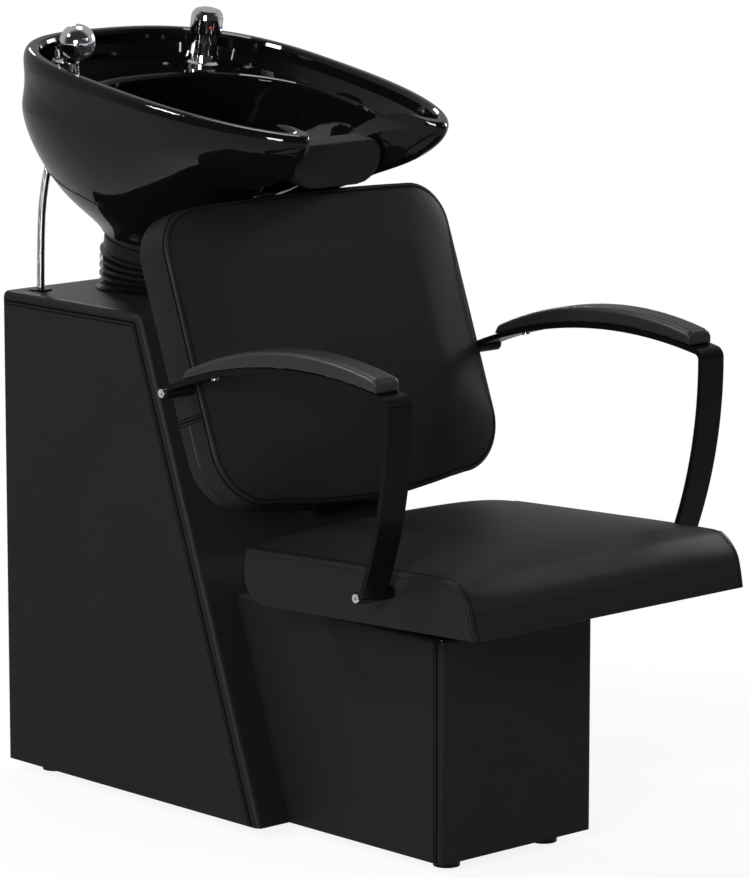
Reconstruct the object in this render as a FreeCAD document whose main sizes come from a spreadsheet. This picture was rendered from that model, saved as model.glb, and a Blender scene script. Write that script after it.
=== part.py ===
import FreeCAD, Part
import math
import os
import Sketcher

# Salon backwash unit: padded cabinet with a tilting bowl, and a chair on a pedestal in front of it.
# Millimetres, Z up. The chair faces -Y, X = 0 is the middle plane, Y = 0 the back of the cabinet.

doc = FreeCAD.newDocument("BackwashUnit")
sheet = doc.addObject("Spreadsheet::Sheet", "sizes")
vec = FreeCAD.Vector
nodes = {}


# A length or angle that keeps its value and the sheet expression it comes from
class Size:
    def __init__(self, value, text):
        self.value = value
        self.text = text

    def __float__(self):
        return float(self.value)

    def __add__(self, other):
        return Size(self.value + float(other), "(%s + %s)" % (self.text, textOf(other)))

    def __sub__(self, other):
        return Size(self.value - float(other), "(%s - %s)" % (self.text, textOf(other)))

    def __rsub__(self, other):
        return Size(float(other) - self.value, "(%s - %s)" % (textOf(other), self.text))

    def __mul__(self, other):
        return Size(self.value * float(other), "(%s * %s)" % (self.text, textOf(other)))

    def __truediv__(self, other):
        return Size(self.value / float(other), "(%s / %s)" % (self.text, textOf(other)))

    def __neg__(self):
        return Size(-self.value, "(0 - %s)" % self.text)

    __radd__ = __add__
    __rmul__ = __mul__


def textOf(number):
    return number.text if isinstance(number, Size) else repr(float(number))


def cosine(angle):
    return Size(math.cos(math.radians(float(angle))), "cos(%s * 1 deg)" % textOf(angle))


def sine(angle):
    return Size(math.sin(math.radians(float(angle))), "sin(%s * 1 deg)" % textOf(angle))


def root(number):
    return Size(math.sqrt(float(number)), "sqrt(%s)" % textOf(number))


def size(alias, value, note):
    size.row += 1
    sheet.set("A%d" % size.row, note)
    sheet.set("B%d" % size.row, str(value))
    sheet.setAlias("B%d" % size.row, alias)
    return Size(value, "sizes." + alias)


size.row = 0

# Cabinet and pedestal
cabinetWidth = size("cabinetWidth", 370, "cabinet, outside width")
cabinetHeight = size("cabinetHeight", 640, "cabinet, height above its feet")
cabinetTopDepth = size("cabinetTopDepth", 280, "cabinet, depth at the top")
cabinetBottomDepth = size("cabinetBottomDepth", 510, "cabinet, depth at the bottom")
pedestalWidth = size("pedestalWidth", 265, "pedestal, outside width")
pedestalHeight = size("pedestalHeight", 285, "pedestal, height above its feet")
pedestalReach = size("pedestalReach", 795, "pedestal front from the cabinet back")
boardThickness = size("boardThickness", 15, "plywood board")
coverThickness = size("coverThickness", 4, "padded cover on the boards")
edgeRound = size("edgeRound", 7, "rounding of the padded edges")
footHeight = size("footHeight", 15, "foot")
footDiameter = size("footDiameter", 34, "foot")
footInsetAcross = size("footInsetAcross", 47, "foot centre from the side")
footInsetAlong = size("footInsetAlong", 40, "foot centre from the end")
railHeight = size("railHeight", 70, "rear rail of the cabinet")

# Seat and backrest
seatWidth = size("seatWidth", 472, "seat, width")
seatLength = size("seatLength", 414, "seat, length along its underside")
seatThickness = size("seatThickness", 70, "seat, height of its side seam")
seatCrown = size("seatCrown", 20, "seat, rise of the top over the seam")
seatTilt = size("seatTilt", 2.5, "seat, rise to the front in degrees")
seatRearReach = size("seatRearReach", 546, "seat rear from the cabinet back")
seatRearHeight = size("seatRearHeight", 323, "seat underside at its rear")
seatBorder = size("seatBorder", 18, "foam round the seat board")
backWidth = size("backWidth", 490, "backrest, width")
backHeight = size("backHeight", 406, "backrest, height along its face")
backThickness = size("backThickness", 50, "backrest, side band")
backCrown = size("backCrown", 12, "backrest, rise of the face over the seam")
backTilt = size("backTilt", 20.1, "backrest, lean in degrees")
backReach = size("backReach", 525, "backrest face foot from the cabinet back")
backFootHeight = size("backFootHeight", 425, "backrest face foot above the floor")
backBorder = size("backBorder", 26, "foam round the back board")
backSkin = size("backSkin", 2, "foam between the seam line and the back board")
backBoard = size("backBoard", 18, "back board")

# Arms
barWidth = size("barWidth", 40, "arm bar, width")
barThickness = size("barThickness", 7, "arm bar, thickness")
armClearance = size("armClearance", 5, "arm bar from the side of the backrest")
sleeveDiameter = size("sleeveDiameter", 16, "arm sleeve")
boltDiameter = size("boltDiameter", 8, "bolts of the chair")
boltPlay = size("boltPlay", 0.2, "hole radius over bolt radius")
armMountHeight = size("armMountHeight", 175, "rear arm bolt up the backrest")
armMountReach = size("armMountReach", 270, "front arm bolt from the seat rear")
armMountRise = size("armMountRise", 46, "front arm bolt over the seat underside")
armCrestHeight = size("armCrestHeight", 636, "arm bar underside at its crest")
armBendReach = size("armBendReach", 860, "arm bend from the cabinet back")
armBendHeight = size("armBendHeight", 622, "arm bar underside at its bend")
armPadLength = size("armPadLength", 356, "arm pad")
armPadHeight = size("armPadHeight", 22, "arm pad at its middle")

# Bowl, in the frame of its tilted rim
bowlTilt = size("bowlTilt", 9.5, "fall of the rim to the front in degrees")
rimHeight = size("rimHeight", 989.5, "rim over the cabinet back")
bowlOverhang = size("bowlOverhang", 22.5, "rim behind the cabinet back")
bowlWidth = size("bowlWidth", 432, "bowl, outside width")
bowlLength = size("bowlLength", 492, "bowl, back to neck dip")
hornReach = size("hornReach", 92, "front corners in front of the neck dip")
rimWidth = size("rimWidth", 18, "rim")
bowlDepth = size("bowlDepth", 237, "rim to the neck")
deckDepth = size("deckDepth", 38, "rim to the rear deck")
basinDepth = size("basinDepth", 168, "rim to the basin floor")
neckDiameter = size("neckDiameter", 172, "bowl neck")
neckLength = size("neckLength", 25, "bowl neck below the body")
neckSetback = size("neckSetback", 170, "neck axis in front of the cabinet back")
hingeDrop = size("hingeDrop", 275, "tilt pin below the rim")
dipWidth = size("dipWidth", 170, "neck dip")
dipDepth = size("dipDepth", 46, "neck dip below the rim")
restThickness = size("restThickness", 12, "neck rest")
restWidth = size("restWidth", 150, "neck rest")
restTop = size("restTop", 33, "top of the neck rest below the rim")
restDrop = size("restDrop", 92, "lower edge of the neck rest below the rim")
fittingSpacing = size("fittingSpacing", 240, "mixer to hand shower")
fittingSetback = size("fittingSetback", 62, "fittings in front of the cabinet back")
wallThickness = size("wallThickness", 14, "ceramic")

# Boot, stand and hose
bootDiameter = size("bootDiameter", 186, "boot over its ribs")
bootWall = size("bootWall", 2.4, "boot rubber")
bootRibDepth = size("bootRibDepth", 7, "boot rib")
pinDiameter = size("pinDiameter", 12, "tilt pin")
pinPlay = size("pinPlay", 0.05, "lug bore radius over pin radius")
hoseDiameter = size("hoseDiameter", 11, "shower hose")
hoseBore = size("hoseBore", 7.5, "shower hose, bore")
hoseHoleInsetAcross = size("hoseHoleInsetAcross", 40, "hose hole from the cabinet side")
hoseHoleInsetAlong = size("hoseHoleInsetAlong", 30, "hose hole from the cabinet back")
softGap = size("softGap", 0.3, "between soft pieces and their neighbours")
doc.recompute()

halfCabinet = cabinetWidth / 2
halfPedestal = pedestalWidth / 2
halfSeat = seatWidth / 2
halfBack = backWidth / 2
topHeight = footHeight + cabinetHeight
innerTop = topHeight - coverThickness
pedestalTop = footHeight + pedestalHeight
slope = (cabinetBottomDepth - cabinetTopDepth) / cabinetHeight
slantStretch = root(slope * slope + 1)
boltRadius = boltDiameter / 2
holeRadius = boltRadius + boltPlay
armInner = halfBack + armClearance
armOuter = armInner + barWidth
fittingAcross = fittingSpacing / 2


# The slanted front of the cabinet at a height, moved inward by an inset
def slantY(height, inset):
    return slantStretch * inset - cabinetTopDepth - slope * (topHeight - height)


# A frame turned about X that carries the pieces of one tilted group
class Tilted:
    def __init__(self, originY, originZ, angle):
        self.originY = originY
        self.originZ = originZ
        self.angle = angle

    def at(self, y, z):
        c, s = cosine(self.angle), sine(self.angle)
        return self.originY + c * y - s * z, self.originZ + s * y + c * z

    def point(self, x, y, z):
        worldY, worldZ = self.at(y, z)
        return vec(float(x), float(worldY), float(worldZ))


zero = Size(0.0, "0")
upright = Tilted(zero, zero, zero)
seatFrame = Tilted(-seatRearReach, seatRearHeight, -seatTilt)
backFrame = Tilted(-backReach, backFootHeight, -backTilt)
bowlFrame = Tilted(zero, rimHeight, bowlTilt)
hingeY, hingeZ = bowlFrame.at(-neckSetback, -hingeDrop)


def bind(item, path, number):
    if isinstance(number, Size):
        item.setExpression(path, number.text)


# Sets a piece at a point of a frame, turned about X by the frame and a further turn
def put(item, frame, x, y, z, turn=0):
    worldY, worldZ = frame.at(y, z)
    angle = frame.angle + turn
    base = vec(float(x), float(worldY), float(worldZ))
    item.Placement = FreeCAD.Placement(base, FreeCAD.Rotation(vec(1, 0, 0), float(angle)))
    bind(item, "Placement.Base.x", x)
    bind(item, "Placement.Base.y", worldY)
    bind(item, "Placement.Base.z", worldZ)
    if float(angle):
        bind(item, "Placement.Rotation.Angle", angle)
    return item


def drawOutline(body, name, role, corners):
    sketch = body.newObject("Sketcher::SketchObject", name)
    plane = next(feature for feature in body.Origin.OriginFeatures if feature.Role == role)
    sketch.AttachmentSupport = [(plane, "")]
    sketch.MapMode = "FlatFace"
    points = [vec(float(a), float(b), 0) for a, b in corners]
    count = len(points)
    for i in range(count):
        sketch.addGeometry(Part.LineSegment(points[i], points[(i + 1) % count]), False)
    for i in range(count):
        sketch.addConstraint(Sketcher.Constraint("Coincident", i, 2, (i + 1) % count, 1))
    for i, (a, b) in enumerate(corners):
        for kind, axis, number in (("DistanceX", -2, a), ("DistanceY", -1, b)):
            if isinstance(number, int) and number == 0:
                sketch.addConstraint(Sketcher.Constraint("PointOnObject", i, 1, axis))
                continue
            index = sketch.addConstraint(Sketcher.Constraint(kind, -1, 1, i, 1, float(number)))
            bind(sketch, "Constraints[%d]" % index, number)
    return sketch


def padded(label, role, corners, length, symmetric=True):
    body = doc.addObject("PartDesign::Body", label)
    sketch = drawOutline(body, label + "_outline", role, corners)
    pad = body.newObject("PartDesign::Pad", label + "_pad")
    pad.Profile = sketch
    pad.Length = float(length)
    bind(pad, "Length", length)
    if symmetric:
        pad.SideType = "Symmetric"
    body.Tip = pad
    return body


def turned(label, corners):
    body = doc.addObject("PartDesign::Body", label)
    sketch = drawOutline(body, label + "_outline", "XZ_Plane", corners)
    spin = body.newObject("PartDesign::Revolution", label + "_turn")
    spin.Profile = sketch
    spin.ReferenceAxis = (sketch, ["V_Axis"])
    spin.Angle = 360
    body.Tip = spin
    return body


def box(label, length, width, height):
    item = doc.addObject("Part::Box", label)
    for path, number in (("Length", length), ("Width", width), ("Height", height)):
        setattr(item, path, float(number))
        bind(item, path, number)
    return item


def rod(label, radius, height):
    item = doc.addObject("Part::Cylinder", label)
    for path, number in (("Radius", radius), ("Height", height)):
        setattr(item, path, float(number))
        bind(item, path, number)
    return item


# A rod along X, starting at x
def crossRod(label, radius, length, frame, x, y, z):
    item = rod(label, radius, length)
    worldY, worldZ = frame.at(y, z)
    base = vec(float(x), float(worldY), float(worldZ))
    item.Placement = FreeCAD.Placement(base, FreeCAD.Rotation(vec(0, 1, 0), 90))
    for path, number in (("x", x), ("y", worldY), ("z", worldZ)):
        bind(item, "Placement.Base." + path, number)
    return item


def fused(label, items):
    item = doc.addObject("Part::MultiFuse", label)
    item.Shapes = items
    return item


def cut(label, base, tools):
    item = doc.addObject("Part::Cut", label)
    item.Base = base
    item.Tool = tools[0] if len(tools) == 1 else fused(label + "_tools", tools)
    return item


def group(label, items):
    item = doc.addObject("Part::Compound", label)
    item.Links = items
    return item


def mirrored(label, source):
    item = doc.addObject("Part::Mirroring", label)
    item.Source = source
    item.Normal = vec(1, 0, 0)
    return item


# A solid whose form comes from code
def formed(label, shape):
    item = doc.addObject("Part::Feature", label)
    item.Shape = shape
    return item


def node(label, item):
    item.Label = label
    nodes[label] = item
    return item


# A bolt with its shank along its own +Z and the underside of its head at zero
def bolt(label, headRadius, headHeight, radius, length):
    shank = rod(label + "_shank", radius, length)
    head = rod(label + "_head", headRadius, headHeight)
    head.Placement.Base = vec(0, 0, -float(headHeight))
    bind(head, "Placement.Base.z", -headHeight if isinstance(headHeight, Size) else headHeight)
    return fused(label, [shank, head])


def edgesWhere(shape, test):
    return ["Edge%d" % (i + 1) for i, edge in enumerate(shape.Edges) if test(edge)]


def rounded(body, feature, radius, test):
    doc.recompute()
    fillet = body.newObject("PartDesign::Fillet", body.Name + "_round")
    fillet.Base = (feature, edgesWhere(feature.Shape, test))
    fillet.Radius = float(radius)
    bind(fillet, "Radius", radius)
    body.Tip = fillet
    return body


def smoothWire(points):
    curve = Part.BSplineCurve()
    curve.interpolate(points, PeriodicFlag=True)
    return Part.Wire([curve.toShape()])


def arcEdge(first, middle, last):
    return Part.Arc(first, middle, last).toShape()


def lineEdge(first, last):
    return Part.LineSegment(first, last).toShape()


def solidOf(shape):
    return shape if shape.ShapeType == "Solid" else shape.Solids[0]


# Cabinet: boards, then one sewn cover over top, sides and slanted front
boardInset = coverThickness + boardThickness
innerHalf = halfCabinet - boardInset
innerWidth = innerHalf * 2
underTop = innerTop - boardThickness
overBottom = footHeight + boardThickness

sideCorners = [
    (0, footHeight),
    (0, innerTop),
    (slantY(innerTop, coverThickness), innerTop),
    (slantY(footHeight, coverThickness), footHeight),
]
sideRight = padded("cabinet_side_board", "YZ_Plane", sideCorners, boardThickness, False)
put(sideRight, upright, -(innerHalf + boardThickness), zero, zero)
sideLeft = mirrored("cabinet_side_board_copy", sideRight)

topBoard = padded("cabinet_top_blank", "YZ_Plane", [
    (0, underTop),
    (0, innerTop),
    (slantY(innerTop, coverThickness), innerTop),
    (slantY(underTop, coverThickness), underTop),
], innerWidth)
frontBoard = padded("cabinet_front_blank", "YZ_Plane", [
    (slantY(footHeight, coverThickness), footHeight),
    (slantY(underTop, coverThickness), underTop),
    (slantY(underTop, boardInset), underTop),
    (slantY(footHeight, boardInset), footHeight),
], innerWidth)
bottomBoard = padded("cabinet_bottom_blank", "YZ_Plane", [
    (0, footHeight),
    (0, overBottom),
    (slantY(overBottom, boardInset), overBottom),
    (slantY(footHeight, boardInset), footHeight),
], innerWidth)

upperRail = box("rail_upper", innerWidth, boardThickness, railHeight)
put(upperRail, upright, -innerHalf, -boardThickness, underTop - railHeight)
lowerRail = box("rail_lower", innerWidth, boardThickness, railHeight)
put(lowerRail, upright, -innerHalf, -boardThickness, overBottom)

coverOuter = padded("cabinet_cover_outer", "YZ_Plane", [
    (0, footHeight),
    (0, topHeight),
    (-cabinetTopDepth, topHeight),
    (-cabinetBottomDepth, footHeight),
], cabinetWidth)


def onCabinetEdge(edge):
    middle = edge.CenterOfMass
    side = abs(abs(middle.x) - float(halfCabinet)) < 0.01
    crest = abs(middle.z - float(topHeight)) < 0.01
    front = middle.y < -float(cabinetTopDepth) / 4 and middle.z > float(footHeight) + 1
    return (side and (crest or front)) or (crest and front)


rounded(coverOuter, coverOuter.Tip, edgeRound, onCabinetEdge)
past = 20
coverCore = padded("cabinet_cover_core", "YZ_Plane", [
    (past, footHeight - past),
    (past, innerTop),
    (slantY(innerTop, coverThickness), innerTop),
    (slantY(footHeight - past, coverThickness), footHeight - past),
], cabinetWidth - coverThickness * 2)

# Holes through the cabinet top: drain way under the boot, hose hole with its grommet, stand bolts
drainWayRadius = 38
grommetRadius = 12
standHalf = 58
standBoltOffset = 48
hoseX = -(halfCabinet - hoseHoleInsetAcross)
hoseY = -hoseHoleInsetAlong
throughTop = boardThickness + coverThickness + past * 2
belowTop = underTop - past


def topHoles(prefix):
    drain = rod(prefix + "_drain_hole", drainWayRadius, throughTop)
    put(drain, upright, 0, hingeY, belowTop)
    hose = rod(prefix + "_hose_hole", grommetRadius, throughTop)
    put(hose, upright, hoseX, hoseY, belowTop)
    holes = [drain, hose]
    for i, (sx, sy) in enumerate(((-1, -1), (-1, 1), (1, -1), (1, 1))):
        hole = rod("%s_stand_hole%d" % (prefix, i), holeRadius, throughTop)
        put(hole, upright, sx * standBoltOffset, hingeY + sy * standBoltOffset, belowTop)
        holes.append(hole)
    return holes


# Bolts that join cabinet and pedestal, square to the slanted front
joinTurn = 90 - Size(math.degrees(math.atan(float(slope))), "(atan(%s) / 1 deg)" % slope.text)
joinAcross = halfPedestal / 2
joinHeights = [footHeight + pedestalHeight / 4, footHeight + pedestalHeight * 3 / 4]


def joinRods(prefix, radius, length):
    rods = []
    for i, height in enumerate(joinHeights):
        for j, side in enumerate((-1, 1)):
            item = rod("%s%d%d" % (prefix, i, j), radius, length)
            put(item, upright, joinAcross * side, slantY(height, boardInset), height, joinTurn)
            rods.append(item)
    return rods


joinLength = boardThickness * 2 + coverThickness - 1
joinReach = joinLength + 1
joinBolts = []
for i, height in enumerate(joinHeights):
    for j, side in enumerate((-1, 1)):
        item = bolt("join_bolt%d%d" % (i, j), 9, 5, boltRadius, joinLength)
        put(item, upright, joinAcross * side, slantY(height, boardInset), height, joinTurn)
        joinBolts.append(item)

# Feet: a round pad with a stem screwed into the bottom board
footStem = boardThickness - 3
rearFootX = halfCabinet - footInsetAcross
frontFootX = halfPedestal - footInsetAcross
rearFootY = -footInsetAlong
frontFootY = footInsetAlong - pedestalReach
footSpots = [
    (rearFootX * -1, rearFootY),
    (rearFootX, rearFootY),
    (frontFootX * -1, frontFootY),
    (frontFootX, frontFootY),
]
feet = []
footHoles = []
for i, (x, y) in enumerate(footSpots):
    foot = bolt("foot%d" % i, footDiameter / 2, footHeight, boltRadius, footStem)
    feet.append(put(foot, upright, x, y, footHeight))
    footHoles.append(put(rod("foot_hole%d" % i, holeRadius, footStem + 1), upright, x, y, footHeight))

node("cabinet_side_right", sideRight)
node("cabinet_side_left", sideLeft)
node("cabinet_top_board", cut("cabinet_top_cut", topBoard, topHoles("top")))
frontBoltHoles = joinRods("front_hole", holeRadius, joinReach)
node("cabinet_front_board", cut("cabinet_front_cut", frontBoard, frontBoltHoles))
node("cabinet_bottom_board", cut("cabinet_bottom_cut", bottomBoard, footHoles[:2]))
node("cabinet_rear_rails", group("cabinet_rails", [upperRail, lowerRail]))
coverShell = cut("cabinet_cover_shell", coverOuter, [coverCore])
coverHoles = topHoles("cover") + joinRods("cover_hole", holeRadius, joinReach)
node("cabinet_cover", cut("cabinet_cover_cut", coverShell, coverHoles))
node("feet", group("feet_group", feet))
node("joining_bolts", group("join_group", joinBolts))

# Pedestal: boards and a cover over both sides and the front
pedInnerHalf = halfPedestal - boardInset
pedInner = pedInnerHalf * 2
pedFrontY = coverThickness - pedestalReach
pedUnderTop = pedestalTop - boardThickness
pedSide = padded("pedestal_side_board", "YZ_Plane", [
    (slantY(footHeight, 0), footHeight),
    (slantY(pedestalTop, 0), pedestalTop),
    (pedFrontY, pedestalTop),
    (pedFrontY, footHeight),
], boardThickness, False)
put(pedSide, upright, -(pedInnerHalf + boardThickness), zero, zero)
pedBack = padded("pedestal_back_blank", "YZ_Plane", [
    (slantY(footHeight, 0), footHeight),
    (slantY(pedestalTop, 0), pedestalTop),
    (slantY(pedestalTop, -boardThickness), pedestalTop),
    (slantY(footHeight, -boardThickness), footHeight),
], pedInner)
pedFront = box("pedestal_front", pedInner, boardThickness, pedestalHeight)
put(pedFront, upright, -pedInnerHalf, pedFrontY, footHeight)
pedTopBoard = padded("pedestal_top_blank", "YZ_Plane", [
    (slantY(pedUnderTop, -boardThickness), pedUnderTop),
    (slantY(pedestalTop, -boardThickness), pedestalTop),
    (pedFrontY + boardThickness, pedestalTop),
    (pedFrontY + boardThickness, pedUnderTop),
], pedInner)
pedBottom = padded("pedestal_bottom_blank", "YZ_Plane", [
    (slantY(footHeight, -boardThickness), footHeight),
    (slantY(overBottom, -boardThickness), overBottom),
    (pedFrontY + boardThickness, overBottom),
    (pedFrontY + boardThickness, footHeight),
], pedInner)
pedOuter = padded("pedestal_cover_outer", "YZ_Plane", [
    (slantY(footHeight, 0), footHeight),
    (slantY(pedestalTop, 0), pedestalTop),
    (-pedestalReach, pedestalTop),
    (-pedestalReach, footHeight),
], pedestalWidth)
rounded(pedOuter, pedOuter.Tip, edgeRound, lambda edge: (
    abs(edge.CenterOfMass.y + float(pedestalReach)) < 0.01
    and abs(abs(edge.CenterOfMass.x) - float(halfPedestal)) < 0.01))
pedCoreWidth = pedestalWidth - coverThickness * 2
pedCore = box("pedestal_core", pedCoreWidth, pedestalReach - coverThickness, pedestalHeight + past * 2)
put(pedCore, upright, coverThickness - halfPedestal, pedFrontY, footHeight - past)

# Seat: wedge rails on the pedestal, board with side cleats, cushion, and the bolts from below
railNear = seatRearReach + 30
railFar = pedestalReach - 20
railWidth = 30
railAcross = 85
seatRise = sine(seatTilt) / cosine(seatTilt)


def seatUnder(reach):
    return seatRearHeight + seatRise * (reach - seatRearReach)


rails = []
for i, side in enumerate((-1, 1)):
    rail = padded("seat_rail%d" % i, "YZ_Plane", [
        (-railNear, pedestalTop),
        (-railNear, seatUnder(railNear)),
        (-railFar, seatUnder(railFar)),
        (-railFar, pedestalTop),
    ], railWidth)
    rails.append(put(rail, upright, side * railAcross, zero, zero))

seatBoltReach = [railNear + 30, railFar - 30]
seatBoltLength = boardThickness + (seatRearHeight - pedestalTop) + boardThickness - 2
seatBolts = []
seatBoltTools = []
for i, reach in enumerate(seatBoltReach):
    for j, side in enumerate((-1, 1)):
        shank = seatBoltLength + seatUnder(reach) - seatRearHeight
        item = bolt("seat_bolt%d%d" % (i, j), 9, 5, boltRadius, shank)
        seatBolts.append(put(item, upright, side * railAcross, -reach, pedUnderTop))
        tool = rod("seat_hole%d%d" % (i, j), holeRadius, shank + 1)
        seatBoltTools.append(put(tool, upright, side * railAcross, -reach, pedUnderTop))

boardHalf = halfSeat - seatBorder
boardNear = 20
boardFar = seatLength - 34
cleatWidth = 32
cleatHeight = seatThickness - boardThickness - 8
cleatNear = 110
cleatFar = boardFar - 48
seatBlank = box("seat_blank", boardHalf * 2, boardFar - boardNear, boardThickness)
put(seatBlank, seatFrame, -boardHalf, -boardFar, 0)
bracketBoltReach = 75
bracketBoltAcross = 30
bracketThickness = 6
cleatBlanks = []
for j, side in enumerate((-1, 1)):
    blank = box("cleat_blank%d" % j, cleatWidth, cleatFar - cleatNear, cleatHeight)
    put(blank, seatFrame, boardHalf * side - (cleatWidth if side > 0 else 0), -cleatFar, boardThickness)
    cleatBlanks.append(blank)


# Side band of the seat: share of its height, then how far front, rear and sides draw in
seatLevels = [
    (0.00, 0, 34, 3),
    (0.06, 1, 22, 2),
    (0.16, 4, 12, 1),
    (0.30, 9, 4, 0),
    (0.45, 13, 0, 0),
    (0.65, 19, 0, 0),
    (0.80, 24, 0, 1),
    (0.92, 31, 1, 2),
    (1.00, 40, 3, 4),
]
seatCrownSteps = 8
seatCrownReach = 80.0
seatRearShare = 0.3
seatCorner = 16.0


def roundedPlan(half, rear, front, corner, z):
    slack = corner * 0.293
    edges = []
    spots = [(half, rear, -1, -1), (-half, rear, 1, -1), (-half, front, 1, 1), (half, front, -1, 1)]
    ends = []
    for x, y, sx, sy in spots:
        along, across = vec(x, y + sy * corner, z), vec(x + sx * corner, y, z)
        first, last = (along, across) if sx * sy > 0 else (across, along)
        ends.append((first, vec(x + sx * slack, y + sy * slack, z), last))
    for i, (first, middle, last) in enumerate(ends):
        edges.append(arcEdge(first, middle, last))
        edges.append(lineEdge(last, ends[(i + 1) % 4][0]))
    return Part.Wire(edges)


def seatForm():
    thick, crown = float(seatThickness), float(seatCrown)
    levels = [(thick * share, front, rear, side) for share, front, rear, side in seatLevels]
    for i in range(1, seatCrownSteps + 1):
        turn = i / seatCrownSteps * math.pi / 2
        inset = seatCrownReach * (1 - math.cos(turn)) + 3 * math.sin(turn)
        low = levels[len(seatLevels) - 1]
        rear = low[2] + inset * seatRearShare
        levels.append((thick + crown * math.sin(turn), low[1] + inset, rear, low[3] + inset))
    wires = []
    for height, front, rear, side in levels:
        corner = seatCorner + side * 0.6
        wires.append(roundedPlan(float(halfSeat) - side, -rear, front - float(seatLength), corner, height))
    return solidOf(Part.makeLoft(wires, True, True))


seatBlock = put(formed("seat_form", seatForm()), seatFrame, 0, 0, 0)

# Backrest: rounded face with a crown, board let in from behind, and a rear shell that closes it
def backOutline(inset):
    half = float(halfBack) - inset
    top = float(backHeight) - inset
    foot = inset
    soft = 1 - inset / 300
    low, bow, high = 84.0 * soft, 14.0 * soft, 58.0 * soft
    flat = half - low
    slack = high * 0.293
    shoulder, corner = half - high, half - slack
    lowBend = (half - 21 * soft, foot + 37 * soft)
    edges = [
        arcEdge(vec(-flat, 0, foot + bow), vec(0, 0, foot), vec(flat, 0, foot + bow)),
        arcEdge(vec(flat, 0, foot + bow), vec(lowBend[0], 0, lowBend[1]), vec(half, 0, foot + low)),
        lineEdge(vec(half, 0, foot + low), vec(half, 0, top - high)),
        arcEdge(vec(half, 0, top - high), vec(corner, 0, top - slack - 3), vec(shoulder, 0, top - 4)),
        arcEdge(vec(shoulder, 0, top - 4), vec(0, 0, top), vec(-shoulder, 0, top - 4)),
        arcEdge(vec(-shoulder, 0, top - 4), vec(-corner, 0, top - slack - 3), vec(-half, 0, top - high)),
        lineEdge(vec(-half, 0, top - high), vec(-half, 0, foot + low)),
        arcEdge(vec(-half, 0, foot + low), vec(-lowBend[0], 0, lowBend[1]), vec(-flat, 0, foot + bow)),
    ]
    return Part.Face(Part.Wire(edges))


def backSlab(inset, near, far):
    face = backOutline(inset)
    face.translate(vec(0, near, 0))
    return face.extrude(vec(0, far - near, 0))


# The face of the backrest rises in a quarter wave while its outline draws in
backCrownSteps = 7
backCrownReach = 70.0


def backForm():
    half, tall = float(halfBack), float(backHeight)
    thick, crown = float(backThickness), float(backCrown)
    wires = []
    for i in range(backCrownSteps + 1):
        turn = i / backCrownSteps * math.pi / 2
        wire = backOutline(backCrownReach * (1 - math.cos(turn))).OuterWire
        wire.translate(vec(0, -crown * math.sin(turn), 0))
        wires.append(wire)
    face = Part.makeLoft(wires, True, True)
    body = backSlab(0, 0, thick).fuse(face)
    # channel round the lower half of the side band
    deep, wide = 3.0, 4.0
    place = thick * 0.58
    channel = backSlab(-5, place, place + wide).cut(backSlab(deep, place - 1, place + wide + 1))
    lower = Part.makeBox(2 * half + 40, thick * 2, tall * 0.32, vec(-half - 20, 0, -20))
    return solidOf(body.cut(channel.common(lower)))


shellNear = backSkin + backBoard
backBlock = put(formed("back_form", backForm()), backFrame, 0, 0, 0)
recess = backSlab(float(backBorder), float(backSkin), float(backThickness) + past)
backRecess = put(formed("back_recess", recess), backFrame, 0, 0, 0)
boardSlab = backSlab(float(backBorder), float(backSkin), float(shellNear))
boardForm = put(formed("back_board_form", boardSlab), backFrame, 0, 0, 0)
shellSlab = backSlab(float(backBorder) + float(softGap), float(shellNear), float(backThickness))
shellForm = put(formed("back_shell_form", shellSlab), backFrame, 0, 0, 0)

# Bracket from the underside of the seat up the rear of the backrest
bracketUp = 110
bracketIn = 120
bracketWidth = 110


def bracketForm():
    thick = bracketThickness
    back = float(backThickness)
    upInner, upOuter = backFrame.point(0, back, bracketUp), backFrame.point(0, back + thick, bracketUp)
    inUpper, inLower = seatFrame.point(0, -bracketIn, 0), seatFrame.point(0, -bracketIn, -thick)
    lean, rise = math.radians(float(backTilt)), math.radians(float(seatTilt))
    slantWay = vec(0, math.sin(lean), math.cos(lean))
    floorWay = vec(0, math.cos(rise), -math.sin(rise))

    def meet(first, firstWay, second, secondWay):
        det = firstWay.y * -secondWay.z + firstWay.z * secondWay.y
        gap = second - first
        share = (gap.y * -secondWay.z + gap.z * secondWay.y) / det
        return first + firstWay * share

    inner = meet(inUpper, floorWay, upInner, slantWay)
    outer = meet(inLower, floorWay, upOuter, slantWay)
    corners = [upInner, upOuter, outer, inLower, inUpper, inner, upInner]
    face = Part.Face(Part.makePolygon(corners))
    face.translate(vec(-bracketWidth / 2, 0, 0))
    plate = face.extrude(vec(bracketWidth, 0, 0))
    bends = [edge for edge in plate.Edges if abs(edge.Length - bracketWidth) < 0.01
             and min((edge.CenterOfMass - vec(0, spot.y, spot.z)).Length for spot in (inner, outer)) < 0.1]
    inside = [edge for edge in bends if (edge.CenterOfMass - vec(0, inner.y, inner.z)).Length < 0.1]
    plate = plate.makeFillet(8.0, inside)
    outside = [edge for edge in plate.Edges if abs(edge.Length - bracketWidth) < 0.01
               and (edge.CenterOfMass - vec(0, outer.y, outer.z)).Length < 0.1]
    return solidOf(plate.makeFillet(8.0 + thick, outside))


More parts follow.
